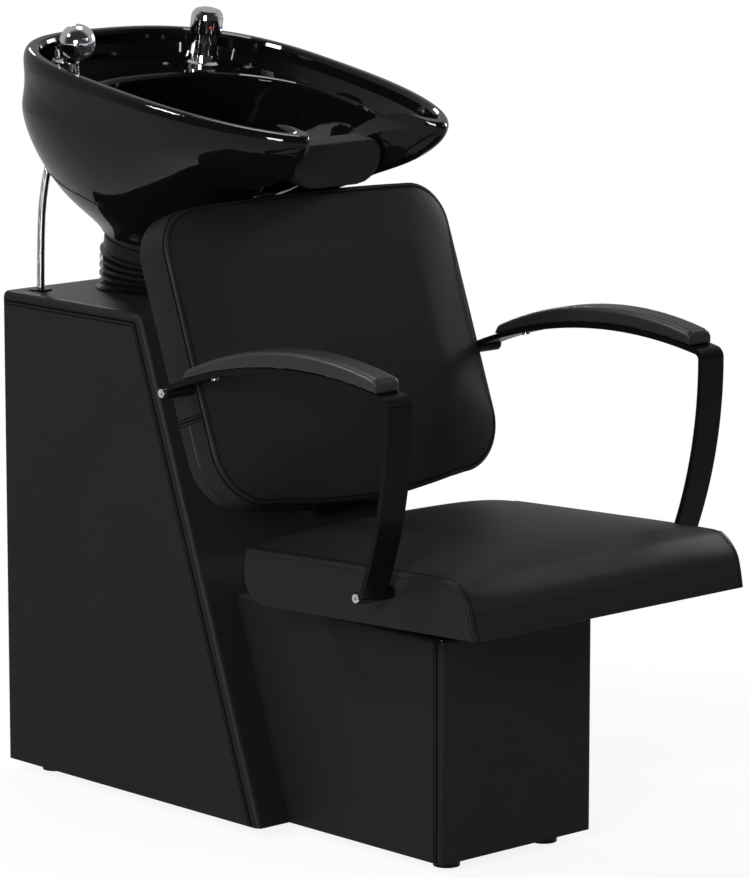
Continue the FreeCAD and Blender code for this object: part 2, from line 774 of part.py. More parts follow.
bracketBlank = formed("bracket_form", bracketForm())
bracketBolts = []
bracketTools = []
backBoltRise = 60
backBoltLength = bracketThickness + (backThickness - shellNear) + backBoard - 2
for j, side in enumerate((-1, 1)):
    x = side * bracketBoltAcross
    lower = bolt("bracket_seat_bolt%d" % j, 8, 4, boltRadius, boardThickness + bracketThickness - 3)
    bracketBolts.append(put(lower, seatFrame, x, -bracketBoltReach, -bracketThickness))
    tool = rod("bracket_low_hole%d" % j, holeRadius, boardThickness + bracketThickness - 2)
    bracketTools.append(put(tool, seatFrame, x, -bracketBoltReach, -bracketThickness))
    upper = bolt("bracket_back_bolt%d" % j, 8, 4, boltRadius, backBoltLength)
    bracketBolts.append(put(upper, backFrame, x, backThickness + bracketThickness, backBoltRise, 90))
    tool = rod("bracket_high_hole%d" % j, holeRadius, backBoltLength + 1)
    bracketTools.append(put(tool, backFrame, x, backThickness + bracketThickness, backBoltRise, 90))
highTools = bracketTools[1::2]
lowTools = bracketTools[0::2]

# Arms: one bent flat bar with a welded sleeve at each end, bolted to the backrest and the seat
rearMountInset = backSkin + backBoard / 2
sleeveRadius = sleeveDiameter / 2
armGrip = 40


def sleeve(label, radius, near, frame, y, z):
    return crossRod(label, radius, armOuter - near, frame, near, y, z)


rearSleeve = sleeve("arm_rear_sleeve", sleeveRadius, halfBack + softGap,
                    backFrame, rearMountInset, armMountHeight)
frontSleeve = sleeve("arm_front_sleeve", sleeveRadius, halfSeat + softGap,
                     seatFrame, -armMountReach, armMountRise)
rearSpot = backFrame.point(0, rearMountInset, armMountHeight)
frontSpot = seatFrame.point(0, -armMountReach, armMountRise)
crestSpot = vec(0, (rearSpot.y * 0.42 - float(armBendReach) * 0.58), float(armCrestHeight))
bendSpot = vec(0, -float(armBendReach), float(armBendHeight))
kneeSpot = vec(0, -float(armBendReach) + 10, (bendSpot.z + frontSpot.z) / 2)
topArc = Part.Arc(rearSpot, crestSpot, bendSpot)
arcCentre = topArc.toShape().Curve.Center
arcRadius = topArc.toShape().Curve.Radius


# A point over the top arc of the bar, at a reach from the cabinet back
def overBar(reach, rise):
    radius = arcRadius + rise
    across = -reach - arcCentre.y
    return vec(0, -reach, arcCentre.z + math.sqrt(radius * radius - across * across))


def barForm():
    thick, wide = float(barThickness), float(barWidth)
    path = Part.Wire([topArc.toShape(), arcEdge(bendSpot, kneeSpot, frontSpot)])
    ribbon = path.makeOffset2D(thick, 2, True, True)
    if ribbon.CenterOfMass.y > path.CenterOfMass.y:
        ribbon = path.makeOffset2D(-thick, 2, True, True)
    face = ribbon.Faces[0]
    face.translate(vec(float(armInner), 0, 0))
    bar = face.extrude(vec(wide, 0, 0))
    bends = [edge for edge in bar.Edges if abs(edge.Length - wide) < 0.01
             and (edge.CenterOfMass - bendSpot).Length < float(armOuter) + 20
             and edge.CenterOfMass.y < bendSpot.y + 3 and edge.CenterOfMass.z > bendSpot.z - 3]
    inner = min(bends, key=lambda edge: edge.CenterOfMass.z)
    outer = max(bends, key=lambda edge: edge.CenterOfMass.z)
    bar = bar.makeFillet(7.0, [inner])
    outer = max([edge for edge in bar.Edges if abs(edge.Length - wide) < 0.01
                 and edge.CenterOfMass.y < bendSpot.y + 3], key=lambda edge: edge.CenterOfMass.z)
    return solidOf(bar.makeFillet(7.0 + thick, [outer]))


def padForm():
    thick, wide = float(barThickness), float(barWidth)
    rise = float(armPadHeight)
    front = float(armBendReach) - 14
    rear = front - float(armPadLength)
    middle = (front + rear) / 2
    low = [overBar(reach, thick) for reach in (rear, middle, front)]
    high = [
        overBar(rear + 3, thick + rise * 0.5),
        overBar(middle, thick + rise),
        overBar(front - 2, thick + rise * 0.78),
    ]
    face = Part.Face(Part.Wire([
        arcEdge(low[0], low[1], low[2]),
        lineEdge(low[2], high[2]),
        arcEdge(high[2], high[1], high[0]),
        lineEdge(high[0], low[0]),
    ]))
    face.translate(vec(float(armInner), 0, 0))
    pad = face.extrude(vec(wide, 0, 0))
    top = [face for face in pad.Faces if face.CenterOfMass.z == max(f.CenterOfMass.z for f in pad.Faces)][0]
    return solidOf(pad.makeFillet(6.0, top.Edges))


barBlank = formed("arm_bar_form", barForm())
padBlank = formed("arm_pad_form", padForm())
boreLength = armOuter - halfSeat + past * 2
rearBore = crossRod("arm_rear_bore", holeRadius, boreLength,
                    backFrame, halfSeat - past, rearMountInset, armMountHeight)
frontBore = crossRod("arm_front_bore", holeRadius, boreLength,
                     seatFrame, halfSeat - past, -armMountReach, armMountRise)
barBody = fused("arm_bar_body", [barBlank, rearSleeve, frontSleeve])

screwRadius = 2.5
screwReaches = [float(armBendReach) - 330, float(armBendReach) - 70]
padScrews = []
screwTools = []
for i, reach in enumerate(screwReaches):
    spot = overBar(reach, -0.03)
    turn = math.degrees(math.atan2(-(spot.y - arcCentre.y), spot.z - arcCentre.z))
    centre = vec(float(armInner + barWidth / 2), spot.y, spot.z)
    place = FreeCAD.Placement(centre, FreeCAD.Rotation(vec(1, 0, 0), turn))
    screw = bolt("pad_screw%d" % i, 5, 2.5, screwRadius, barThickness + 8)
    screw.Placement = place
    padScrews.append(screw)
    tool = rod("pad_screw_hole%d" % i, screwRadius + 0.1, barThickness + 9)
    tool.Placement = place
    screwTools.append(tool)

leftBar = cut("arm_bar_cut", barBody, [rearBore, frontBore] + screwTools)
leftPad = cut("arm_pad_cut", padBlank, screwTools)
node("arm_bar_left", leftBar)
node("arm_bar_right", mirrored("arm_bar_copy", leftBar))
node("arm_pad_left", leftPad)
node("arm_pad_right", mirrored("arm_pad_copy", leftPad))
padScrewGroup = group("pad_screws_left", padScrews)
node("arm_pad_screws", group("pad_screws", [padScrewGroup, mirrored("pad_screws_copy", padScrewGroup)]))


# A socket bolt along X with its head outside the sleeve
def armBolt(label, frame, inner, y, z):
    length = armOuter - inner
    shank = crossRod(label + "_shank", boltRadius, length, frame, inner, y, z)
    head = crossRod(label + "_head", 5.5, 4, frame, armOuter, y, z)
    socket = crossRod(label + "_socket", 2.2, 3, frame, armOuter + 1.5, y, z)
    return cut(label, fused(label + "_body", [shank, head]), [socket])


rearBoltEnd = halfBack - backBorder - armGrip
rearBolt = armBolt("arm_rear_bolt", backFrame, rearBoltEnd, rearMountInset, armMountHeight)
frontBolt = armBolt("arm_front_bolt", seatFrame, boardHalf - cleatWidth + 4, -armMountReach, armMountRise)
boltPair = group("arm_bolts_left", [rearBolt, frontBolt])
node("arm_bolts", group("arm_bolt_group", [boltPair, mirrored("arm_bolts_copy", boltPair)]))


def crossHole(label, frame, inner, y, z):
    return crossRod(label, holeRadius, armOuter - inner, frame, inner, y, z)


def bothSides(label, item):
    return [item, mirrored(label, item)]


rearHoles = bothSides("rear_hole_copy", crossHole("rear_hole", backFrame, rearBoltEnd - 1,
                                                  rearMountInset, armMountHeight))
frontHoles = bothSides("front_hole_copy", crossHole("seat_arm_hole", seatFrame, boardHalf - cleatWidth + 3,
                                                    -armMountReach, armMountRise))

node("pedestal_side_right", pedSide)
node("pedestal_side_left", mirrored("pedestal_side_copy", pedSide))
pedBoltHoles = joinRods("pedestal_hole", holeRadius, joinReach)
node("pedestal_back_board", cut("pedestal_back_cut", pedBack, pedBoltHoles))
node("pedestal_front_board", pedFront)
node("pedestal_top_board", cut("pedestal_top_cut", pedTopBoard, seatBoltTools))
node("pedestal_bottom_board", cut("pedestal_bottom_cut", pedBottom, footHoles[2:]))
node("pedestal_cover", cut("pedestal_cover_cut", pedOuter, [pedCore]))
node("seat_rails", cut("seat_rails_cut", group("seat_rail_pair", rails), seatBoltTools))
node("seat_board", cut("seat_board_cut", seatBlank, seatBoltTools + lowTools))
node("seat_cleats", cut("seat_cleats_cut", group("cleat_pair", cleatBlanks), frontHoles))
node("seat_cushion", cut("seat_cushion_cut", seatBlock, [seatBlank] + cleatBlanks + frontHoles))
node("seat_bolts", group("seat_bolt_group", seatBolts))
node("back_cushion", cut("back_cushion_cut", backBlock, [backRecess] + rearHoles))
node("back_board", cut("back_board_cut", boardForm, rearHoles + highTools))
node("back_shell", cut("back_shell_cut", shellForm, highTools))
node("back_bracket", cut("back_bracket_cut", bracketBlank, highTools + lowTools))
node("back_bracket_bolts", group("back_bracket_bolt_group", bracketBolts))

# Bowl: the rim outline is a rounded rectangle whose front corners reach forward round the neck dip
rimSquareness = 2.7
hornPlace = 0.56
hornStart = 0.30
hornSharpness = 3.2
dipSpread = 75.0
outlineCount = 96


def powered(number, power):
    return math.copysign(abs(number) ** power, number)


# Inset draws the outline in, and lip draws it in further at the dip
def rimOutline(inset=0.0, lip=0.0):
    whole = float(bowlWidth) / 2
    half = whole - inset
    long = float(bowlLength) / 2 - inset
    middle = float(bowlOverhang) - float(bowlLength) / 2
    hornTop = (hornPlace * whole + 0.35 * inset) / half
    hornFoot = (hornStart * whole + 1.1 * inset) / half
    points = []
    for i in range(outlineCount):
        turn = 2 * math.pi * i / outlineCount
        x = half * powered(math.cos(turn), 2 / rimSquareness)
        y = middle + long * powered(math.sin(turn), 2 / rimSquareness)
        share = abs(x) / half
        if math.sin(turn) < 0:
            near = share / hornTop
            swell = near ** hornSharpness * math.exp(hornSharpness * (1 - near))
            if near < 1:
                rise = max(0.0, (share - hornFoot) / (hornTop - hornFoot))
                swell = rise * rise * (3 - 2 * rise)
            y -= float(hornReach) * swell * math.sqrt(max(0.0, 1 - share ** 10))
            y += lip * math.exp(-(x / dipSpread) ** 2)
        points.append(vec(x, y, 0))
    return points


# Shares of the way from neck to rim that the outside keeps at each depth: back, side, front corner, dip
bodyLevels = [
    (0.000, 0.950, 0.955, 0.980, 0.975),
    (0.006, 0.975, 0.978, 0.991, 0.988),
    (0.025, 1.000, 1.000, 1.000, 1.000),
    (0.11, 1.00, 1.00, 0.98, 0.99),
    (0.32, 1.00, 0.97, 0.74, 0.87),
    (0.51, 0.90, 0.85, 0.46, 0.60),
    (0.68, 0.72, 0.64, 0.23, 0.28),
    (0.83, 0.46, 0.38, 0.08, 0.10),
    (0.94, 0.16, 0.13, 0.02, 0.02),
    (1.00, 0.03, 0.03, 0.00, 0.00),
]
# The same for the basin, from the round of its floor to its upper edge: back, side, front
basinLevels = [
    (0.00, 1.00, 1.00, 1.00),
    (0.28, 0.97, 0.98, 0.94),
    (0.56, 0.88, 0.92, 0.74),
    (0.80, 0.66, 0.79, 0.51),
    (0.95, 0.35, 0.58, 0.34),
    (1.00, 0.00, 0.38, 0.20),
]
basinRound = 42.0
basinSquareness = 2.4


def blended(share, back, side, front):
    return side + (back - side) * max(0.0, share) ** 2 + (front - side) * max(0.0, -share) ** 2


def sectionPoints(outline, deep, shares):
    back, side, corner, dip = shares
    axis = vec(0, -float(neckSetback), 0)
    radius = float(neckDiameter) / 2 + 4
    points = []
    for spot in outline:
        way = spot - axis
        way.normalize()
        front = corner + (dip - corner) * math.exp(-(spot.x / dipSpread) ** 2)
        share = blended(way.y, back, side, front)
        neck = axis + way * radius
        points.append(neck + (spot - neck) * share + vec(0, 0, -deep * float(bowlDepth)))
    return points


# Shares of the outside at any depth under the rounded edge of the rim
def sharesAt(deep):
    levels = bodyLevels[2:]
    for above, below in zip(levels, levels[1:]):
        if deep <= below[0]:
            part = max(0.0, (deep - above[0]) / (below[0] - above[0]))
            return [a + (b - a) * part for a, b in zip(above[1:], below[1:])]
    return levels[-1][1:]


def bowlBody():
    rim = rimOutline()
    sections = [smoothWire(sectionPoints(rim, level[0], level[1:])) for level in bodyLevels]
    body = Part.makeLoft(sections, True, False)
    foot = float(bowlDepth)
    neck = Part.makeCylinder(float(neckDiameter) / 2, float(neckLength) + 6,
                             vec(0, -float(neckSetback), -foot - float(neckLength)))
    return solidOf(body.fuse(neck))


def roundOutline(half, back, front, squareness, depth):
    long = (back - front) / 2
    middle = (back + front) / 2
    points = []
    for i in range(outlineCount // 2):
        turn = 4 * math.pi * i / outlineCount
        points.append(vec(half * powered(math.cos(turn), 2 / squareness),
                          middle + long * powered(math.sin(turn), 2 / squareness), -depth))
    return points


apron = 28.0
fittingAcrossValue = float(fittingAcross)
upperFront = float(bowlOverhang) - float(bowlLength) + apron
basinHalf = float(bowlWidth) * 0.436
basinBack = -float(fittingSetback) - 34
basinFront = upperFront + 8
deck = float(deckDepth)


# The upper hollow follows the rim, and its floor rises into the front corners
def upperHollow():
    rim = float(rimWidth)
    wires = []
    for depth, draw in ((-8.0, -10.0), (0.0, -5.0), (2.0, -2.0), (6.0, 0.0), (deck / 2, 1.0), (deck, 5.0)):
        deep = depth / float(bowlDepth)
        wires.append(smoothWire(sectionPoints(rimOutline(rim + draw, apron - rim), deep, sharesAt(deep))))
    hollow = Part.makeLoft(wires, True, True)
    low, wide = -deck - 1, float(bowlWidth)
    start, end = upperFront + 45, upperFront - float(hornReach) - 40
    corners = [vec(-wide, start, low), vec(-wide, end, low), vec(-wide, end, 4), vec(-wide, start, low)]
    return hollow.cut(Part.Face(Part.makePolygon(corners)).extrude(vec(2 * wide, 0, 0)))


def basinHollow():
    axis = vec(0, -float(neckSetback), 0)
    edge = roundOutline(basinHalf, basinBack, basinFront, basinSquareness, 0)
    wires = []
    for deep, back, side, front in basinLevels:
        points = []
        for spot in edge:
            way = spot - axis
            unit = vec(way.x, way.y, 0)
            unit.normalize()
            share = blended(unit.y, back, side, front)
            low = unit * basinRound
            drop = deck + deep * (float(basinDepth) - deck)
            points.append(axis + low + (way - low) * share + vec(0, 0, -drop))
        wires.append(smoothWire(points))
    mouth = []
    for below, wide in ((-6.0, 9.0), (0.0, 6.0), (1.2, 2.6), (4.0, 0.4), (9.0, -1.5)):
        mouth.append(smoothWire(roundOutline(basinHalf + wide * 0.4, basinBack + wide, basinFront - wide * 0.5,
                                             basinSquareness, deck + below)))
    return Part.makeLoft(mouth, True, True).fuse(Part.makeLoft(wires, True, False))


# A tunnel through the front wall whose floor is the neck dip
def dipTunnel():
    half, deep = float(dipWidth) / 2, float(dipDepth)
    flare = 26.0
    mouth, shoulder, bend = half + flare, half + flare * 0.35, -deep * 0.3
    edges = [
        lineEdge(vec(-mouth, 0, 12), vec(mouth, 0, 12)),
        lineEdge(vec(mouth, 0, 12), vec(shoulder, 0, bend)),
        arcEdge(vec(shoulder, 0, bend), vec(0, 0, -deep), vec(-shoulder, 0, bend)),
        lineEdge(vec(-shoulder, 0, bend), vec(-mouth, 0, 12)),
    ]
    face = Part.Face(Part.Wire(edges))
    face.translate(vec(0, upperFront + 40, 0))
    return face.extrude(vec(0, -apron - float(hornReach) - 60, 0))


# Room under the deck for the tails of the fittings, open below behind the neck
def servicePocket():
    wall = float(wallThickness)
    axis = vec(0, -float(neckSetback), 0)
    top, low = deck + wall, float(bowlDepth) - 10
    wires = []
    for depth, share in ((top, 0.93), (top + 58, 0.90), (low, 0.80)):
        down = axis + vec(0, 0, -depth)
        wires.append(smoothWire([down + (spot - axis) * share for spot in rimOutline()]))
    prism = Part.makeLoft(wires, True, True)
    half = fittingAcrossValue + 32
    keep = Part.makeBox(2 * half, 200, low, vec(-half, basinBack + wall, -low))
    return prism.common(keep)


floorLevel = float(basinDepth)
neckFloor = floorLevel + 20
neckBore = float(neckDiameter) / 2 - 12
wasteRadius = 22.5
wasteHole = wasteRadius + 0.5
deckHole = 11.5


def bowlHollows():
    axisY = -float(neckSetback)
    deepest = float(bowlDepth) + float(neckLength)
    well = Part.makeCylinder(neckBore, deepest - neckFloor + 5, vec(0, axisY, -deepest - 5))
    waste = Part.makeCylinder(wasteHole, 60, vec(0, axisY, -neckFloor - 5))
    hollow = upperHollow().fuse([basinHollow(), dipTunnel(), servicePocket(), well, waste])
    for side in (-1, 1):
        spot = vec(side * fittingAcrossValue, -float(fittingSetback), -deck - 40)
        hollow = hollow.fuse(Part.makeCylinder(deckHole, 60, spot))
    for i in range(3):
        turn = math.radians(90 + 120 * i)
        spot = vec(carrierBoltRing * math.cos(turn), axisY + carrierBoltRing * math.sin(turn), -neckFloor)
        hollow = hollow.fuse(Part.makeCylinder(float(holeRadius), 12, spot))
    return hollow


carrierBoltRing = 54.0
bowlOuterShape = bowlBody()
bowlShape = bowlOuterShape.cut(bowlHollows())
node("bowl", put(formed("bowl_form", solidOf(bowlShape)), bowlFrame, 0, 0, 0))


# Neck rest: a soft pad on the front wall, with a level top across the dip
def restForm():
    thick, gap = float(restThickness), float(softGap)
    half, top, drop = float(restWidth) / 2, float(restTop), float(restDrop)
    topCorner, lowCorner = 20.0, 36.0
    plain = bowlOuterShape.cut(dipTunnel())
    pad = plain.copy()
    pad.translate(vec(0, -thick, 0))
    reach = apron + thick - 3
    saddle = Part.makeBox(2 * half, reach, drop, vec(-half, upperFront - reach, -drop))
    depth = 120
    region = Part.makeBox(2 * half, depth, drop - top, vec(-half, upperFront - depth, -drop))
    for level, corner in ((-top, topCorner), (-drop, lowCorner)):
        ends = [edge for edge in region.Edges if abs(edge.Length - depth) < 0.01
                and abs(edge.CenterOfMass.z - level) < 0.01 and abs(abs(edge.CenterOfMass.x) - half) < 0.01]
        region = region.makeFillet(corner, ends)
    body = pad.fuse(saddle).common(region)
    for shift in (vec(0, -gap, gap), vec(0, 0, gap), vec(0, -gap, 0), vec(0, 0, 0)):
        keep = plain.copy()
        keep.translate(shift)
        body = body.cut(keep)
    return max(body.Solids, key=lambda solid: solid.Volume)


node("neck_rest", put(formed("neck_rest_form", restForm()), bowlFrame, 0, 0, 0))

# Waste: flanged body, nut, grid and tail, on the neck axis
axisDown = -neckSetback
wasteBody = turned("waste_body", [
    (18, -basinDepth - 46),
    (wasteRadius, -basinDepth - 46),
    (wasteRadius, -basinDepth),
    (36, -basinDepth),
    (34, -basinDepth + 2.5),
    (18, -basinDepth + 2.5),
])
wasteNut = turned("waste_nut", [
    (wasteRadius, -basinDepth - 30),
    (34, -basinDepth - 30),
    (34, -basinDepth - 20),
    (wasteRadius, -basinDepth - 20),
])
tailEnd = -hingeDrop - 18
wasteTail = turned("waste_tail", [
    (17.5, tailEnd),
    (20, tailEnd),
    (20, -basinDepth - 50),
    (wasteRadius, -basinDepth - 50),
    (wasteRadius, -basinDepth - 46),
    (17.5, -basinDepth - 46),
])
gridDisc = rod("waste_grid_disc", 18, 2)
put(gridDisc, bowlFrame, 0, axisDown, -basinDepth - 1)
gridHoles = []
for ring, count in ((0, 1), (6, 6), (12.5, 12)):
    for i in range(count):
        turn = 2 * math.pi * i / count
        hole = rod("grid_hole_%d_%d" % (ring * 10, i), 1.9, 6)
        across, along = ring * math.cos(turn), axisDown + ring * math.sin(turn)
        gridHoles.append(put(hole, bowlFrame, across, along, -basinDepth - 3))
node("waste_body", put(wasteBody, bowlFrame, 0, axisDown, 0))
node("waste_nut", put(wasteNut, bowlFrame, 0, axisDown, 0))
node("waste_tail", put(wasteTail, bowlFrame, 0, axisDown, 0))
node("waste_grid", cut("waste_grid_cut", gridDisc, gridHoles))

# Carrier under the bowl with two lugs, and the stand on the cabinet that holds the tilt pin
lugInner = 44
lugThickness = 6
cheekGap = 0.5
cheekInner = lugInner + lugThickness + cheekGap
cheekThickness = 6
lugHalf = 17
carrierThickness = 6
carrierTop = -basinDepth - 20
carrierRing = turned("carrier_ring", [
    (37, carrierTop - carrierThickness),
    (neckBore - 2, carrierTop - carrierThickness),
    (neckBore - 2, carrierTop),
    (37, carrierTop),
])
put(carrierRing, bowlFrame, 0, axisDown, 0)
pinRadius = pinDiameter / 2
carrierParts = [carrierRing]
for i, side in enumerate((-1, 1)):
    near = lugInner if side > 0 else -lugInner - lugThickness
    tall = hingeDrop + carrierTop - carrierThickness
    web = box("lug_web%d" % i, lugThickness, lugHalf * 2, tall)
    carrierParts.append(put(web, bowlFrame, near, axisDown - lugHalf, -hingeDrop))
    eye = crossRod("lug_eye%d" % i, lugHalf, lugThickness, bowlFrame, near, axisDown, -hingeDrop)
    carrierParts.append(eye)
lugBore = crossRod("lug_bore", pinRadius + pinPlay, 200, bowlFrame, -100, axisDown, -hingeDrop)
carrierHoles = [lugBore]
carrierBolts = []
for i in range(3):
    turn = math.radians(90 + 120 * i)
    x, y = carrierBoltRing * math.cos(turn), axisDown + carrierBoltRing * math.sin(turn)
    hole = rod("carrier_hole%d" % i, holeRadius, 30)
    carrierHoles.append(put(hole, bowlFrame, x, y, carrierTop - 15))
    item = bolt("carrier_bolt%d" % i, 7, 4, boltRadius, carrierThickness + 10)
    carrierBolts.append(put(item, bowlFrame, x, y, carrierTop - carrierThickness))
node("bowl_carrier", cut("bowl_carrier_cut", fused("carrier_body", carrierParts), carrierHoles))
node("carrier_bolts", group("carrier_bolt_group", carrierBolts))

standThickness = 5
standPlate = box("stand_plate", standHalf * 2, standHalf * 2, standThickness)
put(standPlate, upright, -standHalf, hingeY - standHalf, topHeight)
standParts = [standPlate]
cheekHalf = 20
for i, side in enumerate((-1, 1)):
    near = cheekInner if side > 0 else -cheekInner - cheekThickness
    web = box("cheek_web%d" % i, cheekThickness, cheekHalf * 2, hingeZ - topHeight)
    standParts.append(put(web, upright, near, hingeY - cheekHalf, topHeight))
    standParts.append(crossRod("cheek_eye%d" % i, cheekHalf, cheekThickness, upright, near, hingeY, hingeZ))
standHoles = [put(rod("stand_way", drainWayRadius - 2, 30), upright, 0, hingeY, topHeight - 10)]
standHoles.append(crossRod("cheek_bore", pinRadius, 200, upright, -100, hingeY, hingeZ))
standBolts = []
for i, (sx, sy) in enumerate(((-1, -1), (-1, 1), (1, -1), (1, 1))):
    x, y = sx * standBoltOffset, hingeY + sy * standBoltOffset
    hole = rod("stand_bolt_hole%d" % i, holeRadius, 30)
    standHoles.append(put(hole, upright, x, y, topHeight - 10))
    item = bolt("stand_bolt%d" % i, 7, 4, boltRadius, standThickness + coverThickness + boardThickness)
    standBolts.append(put(item, upright, x, y, topHeight + standThickness, 180))
node("tilt_stand", cut("tilt_stand_cut", fused("stand_body", standParts), standHoles))
node("stand_bolts", group("stand_bolt_group", standBolts))
cheekOuter = cheekInner + cheekThickness
pinInner = lugInner - 5
clipNear = lugInner - 3
pinShank = crossRod("pin_shank", pinRadius, cheekOuter - pinInner, upright, pinInner, hingeY, hingeZ)
pinHead = crossRod("pin_head", 10, 5, upright, cheekOuter, hingeY, hingeZ)
pinLeft = fused("tilt_pin_body", [pinShank, pinHead])
node("tilt_pins", group("tilt_pin_pair", bothSides("tilt_pin_copy", pinLeft)))
clipBlank = crossRod("clip_blank", 9, 2, upright, clipNear, hingeY, hingeZ)
clipBore = crossRod("clip_bore", pinRadius, 30, upright, clipNear - 10, hingeY, hingeZ)
clipLeft = cut("pin_clip", clipBlank, [clipBore])
node("pin_clips", group("pin_clip_pair", bothSides("pin_clip_copy", clipLeft)))

# Boot: a bellows from the cabinet top to the bowl neck; its rings lean with the bowl step by step
bootRibs = 5
bootFlange = 97.0
collarGrip = 16.0


def bootForm():
    outer = float(bootDiameter) / 2
    valley = outer - float(bootRibDepth)
    wall = float(bootWall)
    neck = float(neckDiameter) / 2 + float(softGap)
    base = vec(0, float(hingeY), float(topHeight))
    collarTop = bowlFrame.point(0, -neckSetback, -bowlDepth - neckLength + collarGrip)
    collarLow = bowlFrame.point(0, -neckSetback, -bowlDepth - neckLength)
    tilt = float(bowlTilt)

    def ring(centre, radius, turn):
        way = vec(0, -math.sin(math.radians(turn)), math.cos(math.radians(turn)))
        circle = Part.Circle(centre, way, radius)
        circle.XAxis = vec(1, 0, 0)
        return Part.Wire([circle.toShape()])

    low = base + vec(0, 0, 3)
    rings = [(base, bootFlange, 0), (low, bootFlange, 0), (low + vec(0, 0, 0.5), valley, 0)]
    steps = bootRibs * 4
    for i in range(1, steps):
        share = i / steps
        radius = outer if i % 4 in (2, 3) else valley
        rings.append((low + (collarLow - low) * share, radius, tilt * share))
    rings.append((collarLow, neck + wall, tilt))
    rings.append((collarTop, neck + wall, tilt))
    outside = Part.makeLoft([ring(c, r, t) for c, r, t in rings], True, True)
    bores = [(base - vec(0, 0, 1), valley - wall, 0), (low, valley - wall, 0)]
    for i in range(1, steps):
        share = i / steps
        radius = (outer if i % 4 in (2, 3) else valley) - wall
        bores.append((low + (collarLow - low) * share, radius, tilt * share))
    bores.append((collarLow, neck, tilt))
    bores.append((collarTop + (collarTop - collarLow) * 0.1, neck, tilt))
    inside = Part.makeLoft([ring(c, r, t) for c, r, t in bores], True, True)
    return solidOf(outside.cut(inside))


node("boot", formed("boot_form", bootForm()))

# Mixer on the far side of the deck
mixerBodyTop = 42
shankEnd = -40
mixerBody = turned("mixer_body", [
    (0, shankEnd),
    (10.5, shankEnd),
    (10.5, 0),
    (25, 0),
    (25, 3),
    (21, 6),
    (19, 14),
    (17.5, mixerBodyTop),
    (6.08, mixerBodyTop),
    (6.08, mixerBodyTop - 22),
    (0, mixerBodyTop - 22),
])
backNut = [
    (10.7, -float(wallThickness) - 8),
    (18, -float(wallThickness) - 8),
    (18, -float(wallThickness)),
    (10.7, -float(wallThickness)),
]
mixerNut = turned("mixer_nut", backNut)
mixerStem = turned("mixer_stem", [
    (0, mixerBodyTop - 20),
    (6, mixerBodyTop - 20),
    (6, mixerBodyTop + 8),
    (4, mixerBodyTop + 8),
    (4, mixerBodyTop + 16),
    (0, mixerBodyTop + 16),
])
knobLow = mixerBodyTop + 1
knobRadius = 22
mixerKnob = turned("mixer_knob_blank", [
    (6.4, knobLow),
    (knobRadius - 1.5, knobLow),
    (knobRadius, knobLow + 3),
    (knobRadius, knobLow + 21),
    (knobRadius - 1.5, knobLow + 27),
    (knobRadius - 5, knobLow + 31.5),
    (knobRadius - 11, knobLow + 33.5),
    (0, knobLow + 34),
    (0, knobLow + 15.5),
    (4.1, knobLow + 15.5),
    (4.1, knobLow + 8),
    (6.4, knobLow + 7.2),
])
fittingY = -fittingSetback
deckZ = -deckDepth
for item in (mixerBody, mixerNut, mixerStem, mixerKnob):
    put(item, bowlFrame, fittingAcross, fittingY, deckZ)

markRadius = 2.4
markDepth = 1.2


def knobMark(label, turn, radius, length):
    item = rod(label, radius, length)
    swing = math.radians(turn)
    start = knobRadius - markDepth
    worldY, worldZ = bowlFrame.at(fittingY + start * math.sin(swing), deckZ + knobLow + 11)
    lean = FreeCAD.Rotation(vec(1, 0, 0), float(bowlTilt))
    way = FreeCAD.Rotation(vec(0, 0, 1), vec(math.cos(swing), math.sin(swing), 0))
    base = vec(float(fittingAcross) + start * math.cos(swing), float(worldY), float(worldZ))
    item.Placement = FreeCAD.Placement(base, lean.multiply(way))
    bind(item, "Placement.Base.x", fittingAcross + start * math.cos(swing))
    bind(item, "Placement.Base.y", worldY)
    bind(item, "Placement.Base.z", worldZ)
    return item


hotTurn, coldTurn = -115, -65
markTools = [knobMark("hot_seat", hotTurn, markRadius, 8), knobMark("cold_seat", coldTurn, markRadius, 8)]
node("mixer_body", mixerBody)
node("mixer_nut", mixerNut)
node("mixer_stem", mixerStem)
node("mixer_knob", cut("mixer_knob_cut", mixerKnob, markTools))
node("mark_hot", knobMark("mark_hot_disc", hotTurn, markRadius, markDepth + 0.4))
node("mark_cold", knobMark("mark_cold_disc", coldTurn, markRadius, markDepth + 0.4))

# Two inlet tails under the mixer, for the supply hoses
tails = []
for i, side in enumerate((-1, 1)):
    tail = turned("mixer_tail%d" % i, [
        (2.5, shankEnd - 30),
        (4.6, shankEnd - 30),
        (4.6, shankEnd),
        (2.5, shankEnd),
    ])
    tails.append(put(tail, bowlFrame, fittingAcross + side * 5.2, fittingY, deckZ))
node("mixer_tails", group("mixer_tail_pair", tails))

# Hand shower in its holder on the near side; its axis leans to the front in the bowl frame
showerLean = 22
showerFrame = Tilted(*bowlFrame.at(fittingY, deckZ), bowlTilt + showerLean)
socketRadius = 9.2
holderBody = turned("holder_body", [
    (0, -52),
    (10.5, -52),
    (10.5, 0),
    (20, 0),
    (20, 4),
    (17.5, 20),
    (0, 20),
])
put(holderBody, bowlFrame, -fittingAcross, fittingY, deckZ)
socket = put(rod("holder_socket", socketRadius, 60), showerFrame, -fittingAcross, 0, 2)
hoseWay = put(rod("holder_way", 6.2, 80), bowlFrame, -fittingAcross, fittingY, deckZ - 60)
holderNut = put(turned("holder_nut", backNut), bowlFrame, -fittingAcross, fittingY, deckZ)
handleLow = 3
ballRise = 54
ballRadius = 24
faceDrop = 24
faceRadius = 18
faceSeatDepth = 13
showerHandle = turned("shower_handle", [
    (0, handleLow),
    (8.9, handleLow),
    (8.9, 29),
    (12, 31),
    (12.5, ballRise - 12),
    (0, ballRise - 12),
])
put(showerHandle, showerFrame, -fittingAcross, 0, 0)
ball = doc.addObject("Part::Sphere", "shower_ball")
ball.Radius = ballRadius
